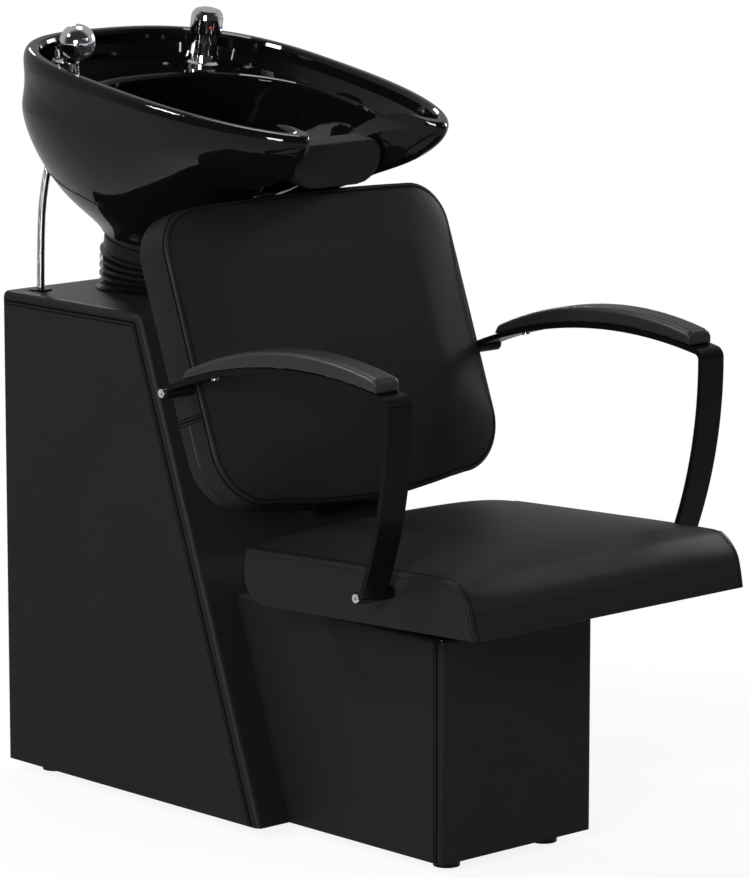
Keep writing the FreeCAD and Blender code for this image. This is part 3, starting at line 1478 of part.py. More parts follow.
put(ball, showerFrame, -fittingAcross, 0, ballRise)
ballY, ballZ = showerFrame.at(0, ballRise)
ballFrame = Tilted(ballY, ballZ, Size(90.0 + faceDrop, "(90 + %d)" % faceDrop))
faceSeat = put(rod("shower_face_seat", faceRadius + 0.15, 20), ballFrame, -fittingAcross, 0, faceSeatDepth)
faceRod = put(rod("shower_face_rod", faceRadius, 20), ballFrame, -fittingAcross, 0, faceSeatDepth)
faceBall = doc.addObject("Part::Sphere", "shower_face_ball")
faceBall.Radius = ballRadius
put(faceBall, showerFrame, -fittingAcross, 0, ballRise)
facePlate = doc.addObject("Part::Common", "shower_plate_dome")
facePlate.Base = faceBall
facePlate.Tool = faceRod
plateHoles = []
for ring, count in ((3.4, 6), (6.8, 12), (10.2, 18), (13.4, 24), (16.2, 28)):
    dome = math.sqrt(ballRadius ** 2 - ring ** 2)
    for i in range(count):
        turn = 2 * math.pi * i / count
        hole = rod("plate_hole_%d_%d" % (ring * 10, i), 0.9, 6)
        spot = (ring * math.cos(turn) - fittingAcross, ring * math.sin(turn), dome - 1.8)
        plateHoles.append(put(hole, ballFrame, *spot))
node("shower_holder", cut("shower_holder_cut", holderBody, [socket, hoseWay]))
node("shower_holder_nut", holderNut)
showerBody = fused("shower_head_body", [showerHandle, ball])
node("shower_head", cut("shower_head_cut", showerBody, [faceSeat]))
node("shower_plate", cut("shower_plate_cut", facePlate, plateHoles))

# Shower hose: wound metal, from the tail of the holder through the hole in the cabinet top
grommetLip = 2.5
grommet = turned("hose_grommet", [
    (float(hoseDiameter) / 2 + 0.6, -float(boardThickness) - float(coverThickness)),
    (grommetRadius, -float(boardThickness) - float(coverThickness)),
    (grommetRadius, 0),
    (grommetRadius + 4, 0),
    (grommetRadius + 3, grommetLip),
    (float(hoseDiameter) / 2 + 0.6, grommetLip),
])
node("hose_grommet", put(grommet, upright, hoseX, hoseY, topHeight))
hoseRibs = 120


def hoseRoute():
    start = bowlFrame.point(-fittingAcross, fittingY, deckZ - 3)
    drop = bowlFrame.point(-fittingAcross, fittingY, deckZ - 84)
    spread = vec(-float(fittingAcross) - 2, -14.0, float(topHeight) + 150)
    mouth = vec(float(hoseX), float(hoseY), float(topHeight) + 74)
    foot = vec(float(hoseX), float(hoseY), float(topHeight) - 80)
    return [start, drop, spread, mouth, foot]


# Straight runs joined by arcs that touch them, as pairs of point and direction along the way
def roundedRoute(points, count):
    pieces = []
    here = points[0]
    for i in range(1, len(points) - 1):
        before, corner, after = points[i - 1], points[i], points[i + 1]
        inWay, outWay = corner - before, after - corner
        shorter = min(inWay.Length, outWay.Length)
        inWay.normalize()
        outWay.normalize()
        turn = inWay.getAngle(outWay)
        setback = 0.45 * shorter
        radius = setback / math.tan(turn / 2)
        print("hose bend radius %.1f" % radius)
        first, last = corner - inWay * setback, corner + outWay * setback
        bulge = (outWay - inWay)
        bulge.normalize()
        centre = corner + bulge * (radius / math.cos(turn / 2))
        pieces.append(lineEdge(here, first))
        pieces.append(arcEdge(first, centre - bulge * radius, last))
        here = last
    pieces.append(lineEdge(here, points[-1]))
    total = sum(piece.Length for piece in pieces)
    stops = []
    for i in range(count + 1):
        along = total * i / count
        for piece in pieces:
            if along <= piece.Length + 1e-6:
                break
            along -= piece.Length
        parameter = piece.getParameterByLength(min(along, piece.Length))
        way = piece.tangentAt(parameter)
        stops.append((piece.valueAt(parameter), way))
    print("hose length %.1f" % total)
    return stops


def hoseForm():
    outer = float(hoseDiameter) / 2
    groove = outer - 0.7
    stops = roundedRoute(hoseRoute(), hoseRibs * 4)

    def ring(spot, way, radius):
        circle = Part.Circle(spot, way, radius)
        circle.XAxis = vec(1, 0, 0) - way * way.x
        return Part.Wire([circle.toShape()])

    outside = []
    inside = []
    for i, (spot, way) in enumerate(stops):
        outside.append(ring(spot, way, outer if i % 4 in (1, 2) else groove))
        if i % 8 == 0 or i == len(stops) - 1:
            inside.append(ring(spot, way, float(hoseBore) / 2))
    body = Part.makeLoft(outside, True, True)
    return solidOf(body.cut(Part.makeLoft(inside, True, True)))


node("shower_hose", formed("shower_hose_form", hoseForm()))
hoseNut = turned("hose_end_nut", [
    (float(hoseDiameter) / 2 + 0.1, -18),
    (10, -18),
    (10, 0),
    (float(hoseDiameter) / 2 + 0.1, 0),
])
node("hose_nut", put(hoseNut, upright, hoseX, hoseY, topHeight - 58))

doc.recompute()

# Checks before anything is written
shapes = {}
for name, item in nodes.items():
    shape = item.Shape
    failed = "Invalid" in item.State or "Error" in item.State
    if failed or shape.isNull() or not shape.isValid() or not shape.Solids:
        raise RuntimeError("bad piece: %s %s" % (name, item.State))
    shapes[name] = shape
for item in doc.Objects:
    if "Invalid" in item.State or "Error" in item.State:
        raise RuntimeError("bad object: %s" % item.Name)

# The origin goes to the middle of the footprint of the whole unit, on the floor
whole = FreeCAD.BoundBox()
for shape in shapes.values():
    whole.add(shape.optimalBoundingBox(False))
shift = vec(-whole.Center.x, -whole.Center.y, -whole.ZMin)
print("box %.2f x %.2f x %.2f, moved by %.3f %.3f %.3f"
      % (whole.XLength, whole.YLength, whole.ZLength, shift.x, shift.y, shift.z))
os.makedirs("parts", exist_ok=True)
for name, shape in shapes.items():
    moved = shape.copy()
    moved.translate(shift)
    moved.exportStep("parts/%s.step" % name)
    print("%-24s solids %d volume %.1f cm3" % (name, len(shape.Solids), shape.Volume / 1000))
print("tilt pin at y %.4f z %.4f" % (float(hingeY) + shift.y, float(hingeZ) + shift.z))
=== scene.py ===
import bpy
import math
import numpy as np
from mathutils import Matrix, Vector


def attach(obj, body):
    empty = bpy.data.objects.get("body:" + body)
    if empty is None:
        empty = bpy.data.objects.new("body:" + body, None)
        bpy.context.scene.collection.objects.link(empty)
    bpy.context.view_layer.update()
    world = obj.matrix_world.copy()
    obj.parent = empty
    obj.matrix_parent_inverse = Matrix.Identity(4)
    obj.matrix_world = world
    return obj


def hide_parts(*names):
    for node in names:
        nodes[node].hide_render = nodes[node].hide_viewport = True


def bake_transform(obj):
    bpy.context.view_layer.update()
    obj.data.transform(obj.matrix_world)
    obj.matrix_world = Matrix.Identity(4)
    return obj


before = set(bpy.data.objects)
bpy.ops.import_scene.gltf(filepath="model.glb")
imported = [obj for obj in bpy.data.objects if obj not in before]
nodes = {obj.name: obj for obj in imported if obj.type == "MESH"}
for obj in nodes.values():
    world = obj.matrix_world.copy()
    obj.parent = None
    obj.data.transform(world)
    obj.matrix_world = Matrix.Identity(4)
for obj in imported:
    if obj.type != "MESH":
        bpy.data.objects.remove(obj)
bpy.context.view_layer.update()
scene = bpy.context.scene
print("frame loaded:", len(nodes), "nodes")

# places shared by the pieces, metres
originShift = 0.461937            # cabinet back to the middle of the footprint


# a frame in the middle plane, turned about X
def leaning(reach, height, degrees):
    place = Matrix.Translation((0, originShift - reach, height))
    return place @ Matrix.Rotation(math.radians(degrees), 4, "X")


seatPlace = leaning(0.546, 0.323, -2.5)
backPlace = leaning(0.525, 0.425, -20.1)


def deselectAll():
    if bpy.context.object and bpy.context.object.mode != "OBJECT":
        bpy.ops.object.mode_set(mode="OBJECT")
    bpy.ops.object.select_all(action="DESELECT")


def activate(piece):
    deselectAll()
    piece.hide_set(False)
    piece.select_set(True)
    bpy.context.view_layer.objects.active = piece


def readPoints(piece):
    flat = np.zeros(len(piece.data.vertices) * 3)
    piece.data.vertices.foreach_get("co", flat)
    return flat.reshape(-1, 3)


def writePoints(piece, points):
    piece.data.vertices.foreach_set("co", np.asarray(points, float).ravel())
    piece.data.update()


def carry(piece, place):
    points = readPoints(piece)
    turn = np.array(place.to_3x3())
    writePoints(piece, points @ turn.T + np.array(place.translation))


def smoothEdges(piece, degrees):
    activate(piece)
    bpy.ops.object.shade_smooth_by_angle(angle=math.radians(degrees))


def addModifier(piece, kind, **values):
    activate(piece)
    bpy.ops.object.modifier_add(type=kind)
    modifier = piece.modifiers[-1]
    for name, value in values.items():
        setattr(modifier, name, value)
    bpy.ops.object.modifier_apply(modifier=modifier.name)


# a cube cut into even squares, the start of every padded block
def cubeGrid(name, cuts):
    deselectAll()
    bpy.ops.mesh.primitive_cube_add(size=2, location=(0, 0, 0))
    piece = bpy.context.object
    piece.name = name
    bpy.ops.object.mode_set(mode="EDIT")
    bpy.ops.mesh.select_all(action="SELECT")
    bpy.ops.mesh.subdivide(number_cuts=cuts)
    bpy.ops.object.mode_set(mode="OBJECT")
    return piece


def dropFaces(piece, test):
    activate(piece)
    bpy.ops.object.mode_set(mode="EDIT")
    bpy.ops.mesh.select_all(action="DESELECT")
    bpy.ops.mesh.select_mode(type="FACE")
    bpy.ops.object.mode_set(mode="OBJECT")
    for face in piece.data.polygons:
        face.select = test(face.center, face.normal)
    bpy.ops.object.mode_set(mode="EDIT")
    bpy.ops.mesh.delete(type="FACE")
    bpy.ops.object.mode_set(mode="OBJECT")


# a copy of a CAD node with its loose triangles joined
def copyNode(nodeName, name):
    source = nodes[nodeName]
    piece = bpy.data.objects.new(name, source.data.copy())
    scene.collection.objects.link(piece)
    activate(piece)
    bpy.ops.object.mode_set(mode="EDIT")
    bpy.ops.mesh.select_all(action="SELECT")
    bpy.ops.mesh.remove_doubles(threshold=0.00002)
    bpy.ops.object.mode_set(mode="OBJECT")
    if piece.data.has_custom_normals:
        bpy.ops.mesh.customdata_custom_splitnormals_clear()
    return piece


# pressure from inside swells the cover; what is held stays, and no point moves further than the cap
swelling = {"frames": 20, "quality": 6, "stretch": 30, "bend": 8}


def puff(piece, held, pressure, cap):
    before = readPoints(piece)
    keep = [i for i, point in enumerate(before) if held(point)]
    group = piece.vertex_groups.new(name="held")
    group.add(keep, 1.0, "REPLACE")
    activate(piece)
    bpy.ops.object.modifier_add(type="CLOTH")
    cloth = piece.modifiers[-1]
    cloth.settings.quality = swelling["quality"]
    cloth.settings.use_pressure = True
    cloth.settings.uniform_pressure_force = pressure
    cloth.settings.vertex_group_mass = "held"
    cloth.settings.tension_stiffness = swelling["stretch"]
    cloth.settings.compression_stiffness = swelling["stretch"]
    cloth.settings.bending_stiffness = swelling["bend"]
    cloth.settings.effector_weights.gravity = 0
    for number in range(swelling["frames"]):
        scene.frame_set(number + 1)
    bpy.ops.object.modifier_apply(modifier=cloth.name)
    after = readPoints(piece)
    moved = after - before
    length = np.linalg.norm(moved, axis=1, keepdims=True)
    writePoints(piece, before + moved * np.minimum(1, cap / np.maximum(length, 1e-9)))
    piece.vertex_groups.clear()
    scene.frame_set(1)
    print("swollen:", piece.name, "by up to %.1f mm" % (1000 * min(cap, length.max())))


# node helpers
def addNode(tree, kind, **values):
    item = tree.nodes.new(kind)
    for name, value in values.items():
        setattr(item, name, value)
    return item


def newGroup(name, inputs, outputs):
    tree = bpy.data.node_groups.new(name, "ShaderNodeTree")
    for label, value in inputs:
        socket = tree.interface.new_socket(name=label, in_out="INPUT", socket_type="NodeSocketFloat")
        socket.default_value = value
    for label in outputs:
        tree.interface.new_socket(name=label, in_out="OUTPUT", socket_type="NodeSocketFloat")
    return tree, tree.nodes.new("NodeGroupInput"), tree.nodes.new("NodeGroupOutput")


def mathNode(tree, operation, first, second=None, third=None):
    item = addNode(tree, "ShaderNodeMath", operation=operation)
    for i, value in enumerate((first, second, third)):
        if value is None:
            continue
        if isinstance(value, (int, float)):
            item.inputs[i].default_value = value
        else:
            tree.links.new(value, item.inputs[i])
    return item.outputs[0]


def noiseNode(tree, vector, scale, detail):
    item = addNode(tree, "ShaderNodeTexNoise")
    item.inputs["Detail"].default_value = detail
    item.inputs["Roughness"].default_value = 0.55
    if isinstance(scale, (int, float)):
        item.inputs["Scale"].default_value = scale
    else:
        tree.links.new(scale, item.inputs["Scale"])
    tree.links.new(vector, item.inputs["Vector"])
    return item.outputs[0]


# pebbled leather: small cells with creases between them, painted shade darkening the creases, and a slow
# change of tone
def makeLeatherGrain():
    tree, given, result = newGroup("leatherGrain", [("Cells", 700.0), ("Crease", 0.6)], ["Height", "Tone"])
    place = addNode(tree, "ShaderNodeTexCoord").outputs["Object"]
    wobble = noiseNode(tree, place, 60.0, 2.0)
    shifted = addNode(tree, "ShaderNodeVectorMath", operation="ADD")
    push = addNode(tree, "ShaderNodeVectorMath", operation="SCALE")
    push.inputs["Scale"].default_value = 0.0016
    colour = addNode(tree, "ShaderNodeCombineXYZ")
    for i in range(3):
        tree.links.new(wobble, colour.inputs[i])
    tree.links.new(colour.outputs[0], push.inputs[0])
    tree.links.new(place, shifted.inputs[0])
    tree.links.new(push.outputs[0], shifted.inputs[1])
    cells = addNode(tree, "ShaderNodeTexVoronoi", feature="DISTANCE_TO_EDGE")
    tree.links.new(shifted.outputs[0], cells.inputs["Vector"])
    tree.links.new(given.outputs["Cells"], cells.inputs["Scale"])
    crease = addNode(tree, "ShaderNodeMapRange", interpolation_type="SMOOTHSTEP")
    crease.inputs["From Max"].default_value = 0.16
    tree.links.new(cells.outputs["Distance"], crease.inputs["Value"])
    fine = noiseNode(tree, place, 1900.0, 2.0)
    ridges = mathNode(tree, "MULTIPLY", crease.outputs[0], given.outputs["Crease"])
    height = mathNode(tree, "MULTIPLY_ADD", fine, 0.25, ridges)
    slow = noiseNode(tree, place, 5.0, 4.0)
    # painted shade: the tone is lower in the creases between cells, darkening them
    tone = mathNode(tree, "MULTIPLY_ADD", slow, 0.6, mathNode(tree, "MULTIPLY", crease.outputs[0], 0.25))
    tree.links.new(height, result.inputs["Height"])
    tree.links.new(tone, result.inputs["Tone"])
    return tree


# fine speckle for paint, rubber and plastic
def makeSpeckle():
    tree, given, result = newGroup("fineSpeckle", [("Scale", 900.0), ("Streak", 1.0)], ["Height", "Tone"])
    place = addNode(tree, "ShaderNodeTexCoord").outputs["Object"]
    stretch = addNode(tree, "ShaderNodeVectorMath", operation="MULTIPLY")
    ratio = addNode(tree, "ShaderNodeCombineXYZ")
    ratio.inputs[0].default_value = 1.0
    ratio.inputs[1].default_value = 1.0
    tree.links.new(given.outputs["Streak"], ratio.inputs[2])
    tree.links.new(place, stretch.inputs[0])
    tree.links.new(ratio.outputs[0], stretch.inputs[1])
    fine = noiseNode(tree, stretch.outputs[0], given.outputs["Scale"], 2.0)
    slow = noiseNode(tree, place, 9.0, 5.0)
    tree.links.new(fine, result.inputs["Height"])
    tone = mathNode(tree, "MULTIPLY_ADD", slow, 0.7, mathNode(tree, "MULTIPLY", fine, 0.3))
    tree.links.new(tone, result.inputs["Tone"])
    return tree


leatherGrain = makeLeatherGrain()
fineSpeckle = makeSpeckle()


def newFinish(name, group, settings, dark, light, rough, bump, depth, shade=None, **shader):
    finish = bpy.data.materials.new(name)
    finish.use_nodes = True
    tree = finish.node_tree
    surface = tree.nodes["Principled BSDF"]
    for socket, value in shader.items():
        surface.inputs[socket.replace("_", " ")].default_value = value
    pattern = addNode(tree, "ShaderNodeGroup", node_tree=group)
    for socket, value in settings.items():
        pattern.inputs[socket].default_value = value
    mix = addNode(tree, "ShaderNodeMix", data_type="RGBA")
    mix.inputs["A"].default_value = (*dark, 1)
    mix.inputs["B"].default_value = (*light, 1)
    tree.links.new(pattern.outputs["Tone"], mix.inputs["Factor"])
    colour = mix.outputs["Result"]
    # painted shade: the named attribute darkens the base colour towards near black where it is high,
    # standing in for shade in grooves
    if shade:
        grooveShadeMask = addNode(tree, "ShaderNodeAttribute", attribute_name=shade)
        grooveShadeMix = addNode(tree, "ShaderNodeMix", data_type="RGBA")
        grooveShadeMix.inputs["B"].default_value = (0.03, 0.03, 0.03, 1)
        tree.links.new(grooveShadeMask.outputs["Fac"], grooveShadeMix.inputs["Factor"])
        tree.links.new(colour, grooveShadeMix.inputs["A"])
        colour = grooveShadeMix.outputs["Result"]
    tree.links.new(colour, surface.inputs["Base Color"])
    gloss = addNode(tree, "ShaderNodeMapRange")
    gloss.inputs["To Min"].default_value = rough[0]
    gloss.inputs["To Max"].default_value = rough[1]
    tree.links.new(pattern.outputs["Tone"], gloss.inputs["Value"])
    tree.links.new(gloss.outputs[0], surface.inputs["Roughness"])
    relief = addNode(tree, "ShaderNodeBump")
    relief.inputs["Strength"].default_value = bump
    relief.inputs["Distance"].default_value = depth
    tree.links.new(pattern.outputs["Height"], relief.inputs["Height"])
    tree.links.new(relief.outputs[0], surface.inputs["Normal"])
    finish.diffuse_color = (*light, 1)
    return finish


def grey(level):
    return (level, level, level * 1.03)


finishes = {
    "leather": newFinish("blackLeather", leatherGrain, {"Cells": 620.0, "Crease": 0.7},
                         grey(0.0065), grey(0.011), (0.36, 0.48), 0.35, 0.00025, Specular_IOR_Level=0.08),
    "armSkin": newFinish("armSkin", leatherGrain, {"Cells": 900.0, "Crease": 0.5},
                         grey(0.010), grey(0.016), (0.32, 0.42), 0.25, 0.0002, Specular_IOR_Level=0.24),
    "thread": newFinish("blackThread", fineSpeckle, {"Scale": 2500.0, "Streak": 1.0},
                        grey(0.0012), grey(0.003), (0.70, 0.85), 0.3, 0.0001, Specular_IOR_Level=0.03),
    "paint": newFinish("blackPowderCoat", fineSpeckle, {"Scale": 1500.0, "Streak": 1.0},
                       grey(0.002), grey(0.004), (0.20, 0.30), 0.15, 0.0001, Specular_IOR_Level=0.07),
    "ceramic": newFinish("blackGlaze", fineSpeckle, {"Scale": 14.0, "Streak": 1.0},
                         grey(0.002), grey(0.003), (0.03, 0.06), 0.04, 0.0004, Specular_IOR_Level=0.27),
    "neckRubber": newFinish("softRubber", fineSpeckle, {"Scale": 650.0, "Streak": 1.0},
                            grey(0.005), grey(0.010), (0.45, 0.60), 0.45, 0.0003, Specular_IOR_Level=0.14),
    "bootRubber": newFinish("bootRubber", fineSpeckle, {"Scale": 420.0, "Streak": 1.0},
                            grey(0.002), grey(0.004), (0.16, 0.26), 0.12, 0.0002, Specular_IOR_Level=0.16),
    "chrome": newFinish("polishedChrome", fineSpeckle, {"Scale": 60.0, "Streak": 1.0},
                        (0.76, 0.77, 0.79), (0.88, 0.89, 0.91), (0.04, 0.10), 0.03, 0.0001, Metallic=1.0),
    # wound hose steel with painted shade in its grooves, read from the groove attribute
    "woundSteel": newFinish("woundSteel", fineSpeckle, {"Scale": 60.0, "Streak": 1.0},
                            (0.50, 0.51, 0.53), (0.62, 0.63, 0.65),
                            (0.10, 0.20), 0.03, 0.0001, shade="groove", Metallic=1.0),
    "zinc": newFinish("zincPlate", fineSpeckle, {"Scale": 800.0, "Streak": 0.1},
                      (0.46, 0.47, 0.49), (0.63, 0.64, 0.66), (0.26, 0.42), 0.15, 0.0001, Metallic=1.0),
    "plywood": newFinish("plywood", fineSpeckle, {"Scale": 90.0, "Streak": 0.06},
                         (0.40, 0.27, 0.15), (0.68, 0.53, 0.35),
                         (0.55, 0.72), 0.25, 0.0004, Specular_IOR_Level=0.3),
    "stained": newFinish("blackStain", fineSpeckle, {"Scale": 90.0, "Streak": 0.06},
                         grey(0.010), grey(0.022), (0.5, 0.65), 0.2, 0.0003, Specular_IOR_Level=0.2),
    "pipe": newFinish("whitePipe", fineSpeckle, {"Scale": 500.0, "Streak": 1.0},
                      (0.62, 0.62, 0.60), (0.78, 0.78, 0.76), (0.35, 0.5), 0.08, 0.0001),
    "foot": newFinish("blackPlastic", fineSpeckle, {"Scale": 1100.0, "Streak": 1.0},
                      grey(0.003), grey(0.006), (0.45, 0.6), 0.25, 0.0001, Specular_IOR_Level=0.2),
    "hot": newFinish("hotMark", fineSpeckle, {"Scale": 400.0, "Streak": 1.0},
                     (0.42, 0.015, 0.015), (0.60, 0.03, 0.03), (0.2, 0.3), 0.05, 0.0001),
    "cold": newFinish("coldMark", fineSpeckle, {"Scale": 400.0, "Streak": 1.0},
                      (0.015, 0.07, 0.35), (0.03, 0.12, 0.5), (0.2, 0.3), 0.05, 0.0001),
}
nodeFinish = {
    "plywood": ["cabinet_side_left", "cabinet_side_right", "cabinet_top_board", "cabinet_front_board",
                "cabinet_bottom_board", "cabinet_rear_rails", "pedestal_side_left", "pedestal_side_right",
                "pedestal_front_board", "pedestal_bottom_board", "back_board"],
    "stained": ["pedestal_top_board", "pedestal_back_board", "seat_rails", "seat_board", "seat_cleats"],
    "leather": ["cabinet_cover", "pedestal_cover", "seat_cushion", "back_cushion", "back_shell"],
    "armSkin": ["arm_pad_left", "arm_pad_right"],
    "paint": ["arm_bar_left", "arm_bar_right", "back_bracket", "tilt_stand", "bowl_carrier"],
    "ceramic": ["bowl"],
    "neckRubber": ["neck_rest"],
    "bootRubber": ["boot", "hose_grommet"],
    "chrome": ["mixer_body", "mixer_knob", "shower_holder", "shower_head", "shower_plate", "shower_hose",
               "arm_bolts", "waste_grid", "waste_body"],
    "zinc": ["joining_bolts", "seat_bolts", "back_bracket_bolts", "stand_bolts", "carrier_bolts",
             "tilt_pins", "pin_clips", "arm_pad_screws", "mixer_nut", "shower_holder_nut", "hose_nut",
             "mixer_stem", "mixer_tails"],
    "pipe": ["waste_nut", "waste_tail"],
    "foot": ["feet"],
    "hot": ["mark_hot"],
    "cold": ["mark_cold"],
}


def dress(piece, finish):
    piece.data.materials.clear()
    piece.data.materials.append(finishes[finish])


for finish, names in nodeFinish.items():
    for name in names:
        dress(nodes[name], finish)
print("finishes:", len(finishes))


# camera at the photograph's place
camera = {"place": (-3.9908, -4.8581 + originShift, 1.5642), "down": 10.228, "round": -42.678,
          "lens": 191.40}
lensData = bpy.data.cameras.new("photoCamera")
lensData.lens = camera["lens"]
lensData.clip_end = 60
cameraObject = bpy.data.objects.new("photoCamera", lensData)
scene.collection.objects.link(cameraObject)
cameraObject.location = camera["place"]
cameraObject.rotation_euler = (math.radians(90 - camera["down"]), 0, math.radians(camera["round"]))
scene.camera = cameraObject
scene.view_settings.view_transform = "Standard"

# soft lamps round the unit, all aimed at its middle
lampAim = Vector((0, 0, 0.6))
lamps = [
    {"name": "keyLamp", "place": (-2.3, -1.3, 1.25), "size": 0.70, "power": 66},
    {"name": "fillLamp", "place": (1.8, -3.4, 2.4), "size": 0.45, "power": 19},
    {"name": "topLamp", "place": (0.5, 0.7, 3.0), "size": 0.80, "power": 16},
    {"name": "farLamp", "place": (2.6, 0.3, 1.4), "size": 0.70, "power": 26},
    {"name": "sideLamp", "place": (-2.2, 1.3, 2.7), "size": 0.48, "power": 60},
    {"name": "backLamp", "place": (1.4, 3.0, 2.4), "size": 0.50, "power": 16},
]
for lamp in lamps:
    lampData = bpy.data.lights.new(lamp["name"], "AREA")
    lampData.energy = lamp["power"]
    lampData.size = lamp["size"]
    lampObject = bpy.data.objects.new(lamp["name"], lampData)
    scene.collection.objects.link(lampObject)
    lampObject.location = lamp["place"]
    aim = lampAim - Vector(lamp["place"])
    lampObject.rotation_euler = aim.to_track_quat("-Z", "Y").to_euler()


def cameraRay(tree):
    return addNode(tree, "ShaderNodeLightPath").outputs["Is Camera Ray"]


def seenDirectly(tree):
    path = addNode(tree, "ShaderNodeLightPath")
    either = mathNode(tree, "MAXIMUM", path.outputs["Is Camera Ray"], path.outputs["Is Glossy Ray"])
    return mathNode(tree, "MAXIMUM", either, path.outputs["Is Transmission Ray"])


# white surroundings for the camera, with a lower light level on the object
# shiny pieces see a lit backdrop on one side, a dim room on the other, and a grey floor
backdrop = {"glow": 0.20, "way": (0.67, 0.74, 0.0), "dark": -0.35, "full": 0.25,
            "room": 0.03, "bright": 0.40, "floor": 0.50}
world = bpy.data.worlds.new("whiteRoom")
scene.world = world
world.use_nodes = True
tree = world.node_tree
glow = tree.nodes["Background"]
glow.inputs["Color"].default_value = (1, 1, 1, 1)
glow.inputs["Strength"].default_value = backdrop["glow"]
white = addNode(tree, "ShaderNodeBackground")
white.inputs["Color"].default_value = (1, 1, 1, 1)
facing = addNode(tree, "ShaderNodeVectorMath", operation="DOT_PRODUCT")
facing.inputs[1].default_value = backdrop["way"]
tree.links.new(addNode(tree, "ShaderNodeTexCoord").outputs["Generated"], facing.inputs[0])
wall = addNode(tree, "ShaderNodeMapRange", interpolation_type="SMOOTHSTEP")
wall.inputs["From Min"].default_value = backdrop["dark"]
wall.inputs["From Max"].default_value = backdrop["full"]
wall.inputs["To Min"].default_value = backdrop["room"]
wall.inputs["To Max"].default_value = backdrop["bright"]
tree.links.new(facing.outputs["Value"], wall.inputs["Value"])
tree.links.new(mathNode(tree, "MAXIMUM", cameraRay(tree), wall.outputs[0]), white.inputs["Strength"])
choice = addNode(tree, "ShaderNodeMixShader")
tree.links.new(seenDirectly(tree), choice.inputs[0])
tree.links.new(glow.outputs[0], choice.inputs[1])
tree.links.new(white.outputs[0], choice.inputs[2])
tree.links.new(choice.outputs[0], tree.nodes["World Output"].inputs["Surface"])

# pale floor that keeps a soft shadow near the unit and turns white further out
ground = {"size": 14, "tone": 0.86, "rough": 0.9, "near": 0.55, "far": 1.25, "least": 0.88}
deselectAll()
bpy.ops.mesh.primitive_plane_add(size=ground["size"], location=(0, 0, 0))
floor = bpy.context.object
floor.name = "studioFloor"
floorFinish = bpy.data.materials.new("paleFloor")
floorFinish.use_nodes = True
tree = floorFinish.node_tree
matt = tree.nodes["Principled BSDF"]
matt.inputs["Base Color"].default_value = (ground["tone"], ground["tone"], ground["tone"], 1)
matt.inputs["Roughness"].default_value = ground["rough"]
matt.inputs["Specular IOR Level"].default_value = 0.1
lift = addNode(tree, "ShaderNodeEmission")
tree.links.new(mathNode(tree, "MAXIMUM", cameraRay(tree), backdrop["floor"]), lift.inputs["Strength"])
blend = addNode(tree, "ShaderNodeMixShader")
distance = addNode(tree, "ShaderNodeVectorMath", operation="LENGTH")
tree.links.new(addNode(tree, "ShaderNodeTexCoord").outputs["Object"], distance.inputs[0])
fade = addNode(tree, "ShaderNodeMapRange", interpolation_type="SMOOTHSTEP")
fade.inputs["From Min"].default_value = ground["near"]
fade.inputs["From Max"].default_value = ground["far"]
fade.inputs["To Min"].default_value = ground["least"]
tree.links.new(distance.outputs["Value"], fade.inputs["Value"])
tree.links.new(mathNode(tree, "MULTIPLY", seenDirectly(tree), fade.outputs[0]), blend.inputs[0])
tree.links.new(matt.outputs[0], blend.inputs[1])
tree.links.new(lift.outputs[0], blend.inputs[2])
tree.links.new(blend.outputs[0], tree.nodes["Material Output"].inputs["Surface"])
floor.data.materials.append(floorFinish)
print("studio ready")

# shower hose: wound metal on a smooth line from the holder down through the cabinet top
hose = {
    "route": [(-0.120, 0.4111, 0.9389), (-0.120, 0.4244, 0.8590), (-0.122, 0.4479, 0.8050),
              (-0.145, 0.4319, 0.7290), (-0.145, 0.4319, 0.5750)],
    "radius": 0.0055,
    "pitch": 0.0030,
    "groove": 0.0010,
    "ring": [1.0, 0.15, 0.0, 0.0, 0.15, 1.0],
    "sides": 18,
}


def splineLine(points, name):
    curve = bpy.data.curves.new(name, "CURVE")
    curve.dimensions = "3D"
    spline = curve.splines.new("NURBS")
    spline.points.add(len(points) - 1)
    for spot, point in zip(points, spline.points):
        point.co = (*spot, 1)
    spline.order_u = 3
    spline.use_endpoint_u = True
    spline.resolution_u = 40
    line = bpy.data.objects.new(name, curve)
    scene.collection.objects.link(line)
    mesh = bpy.data.meshes.new_from_object(line)
    spots = np.array([vertex.co for vertex in mesh.vertices])
    bpy.data.meshes.remove(mesh)
    bpy.data.objects.remove(line)
    return spots


# points at even steps along a line, and the line's length
def evenPoints(points, step):
    gaps = np.linalg.norm(np.diff(points, axis=0), axis=1)
    along = np.concatenate([[0], np.cumsum(gaps)])
    count = max(2, int(round(along[-1] / step)))
    where = np.linspace(0, along[-1], count + 1)
    return np.stack([np.interp(where, along, points[:, i]) for i in range(3)], axis=1), along[-1]


# rings of points round a line, with a radius for each ring
def tubeMesh(name, line, radii, sides):
    ways = np.gradient(line, axis=0)
    ways /= np.linalg.norm(ways, axis=1, keepdims=True)
    side = np.cross(ways, np.array([0.0, 1.0, 0.0]))
    side /= np.linalg.norm(side, axis=1, keepdims=True)
    up = np.cross(side, ways)
    verts, faces = [], []
    for i in range(len(line)):
        for j in range(sides):
            turn = 2 * math.pi * j / sides
            verts.append(line[i] + radii[i] * (math.cos(turn) * side[i] + math.sin(turn) * up[i]))
    for i in range(len(line) - 1):
        for j in range(sides):
            nextJ = (j + 1) % sides
            faces.append((i * sides + j, i * sides + nextJ, (i + 1) * sides + nextJ, (i + 1) * sides + j))
    faces.append(tuple(range(sides))[::-1])
    faces.append(tuple((len(line) - 1) * sides + j for j in range(sides)))
    mesh = bpy.data.meshes.new(name)
    mesh.from_pydata([tuple(v) for v in verts], [], faces)
    piece = bpy.data.objects.new(name, mesh)
    scene.collection.objects.link(piece)
    activate(piece)
    bpy.ops.object.mode_set(mode="EDIT")
    bpy.ops.mesh.select_all(action="SELECT")
    bpy.ops.mesh.normals_make_consistent(inside=False)
    bpy.ops.object.mode_set(mode="OBJECT")
    return piece


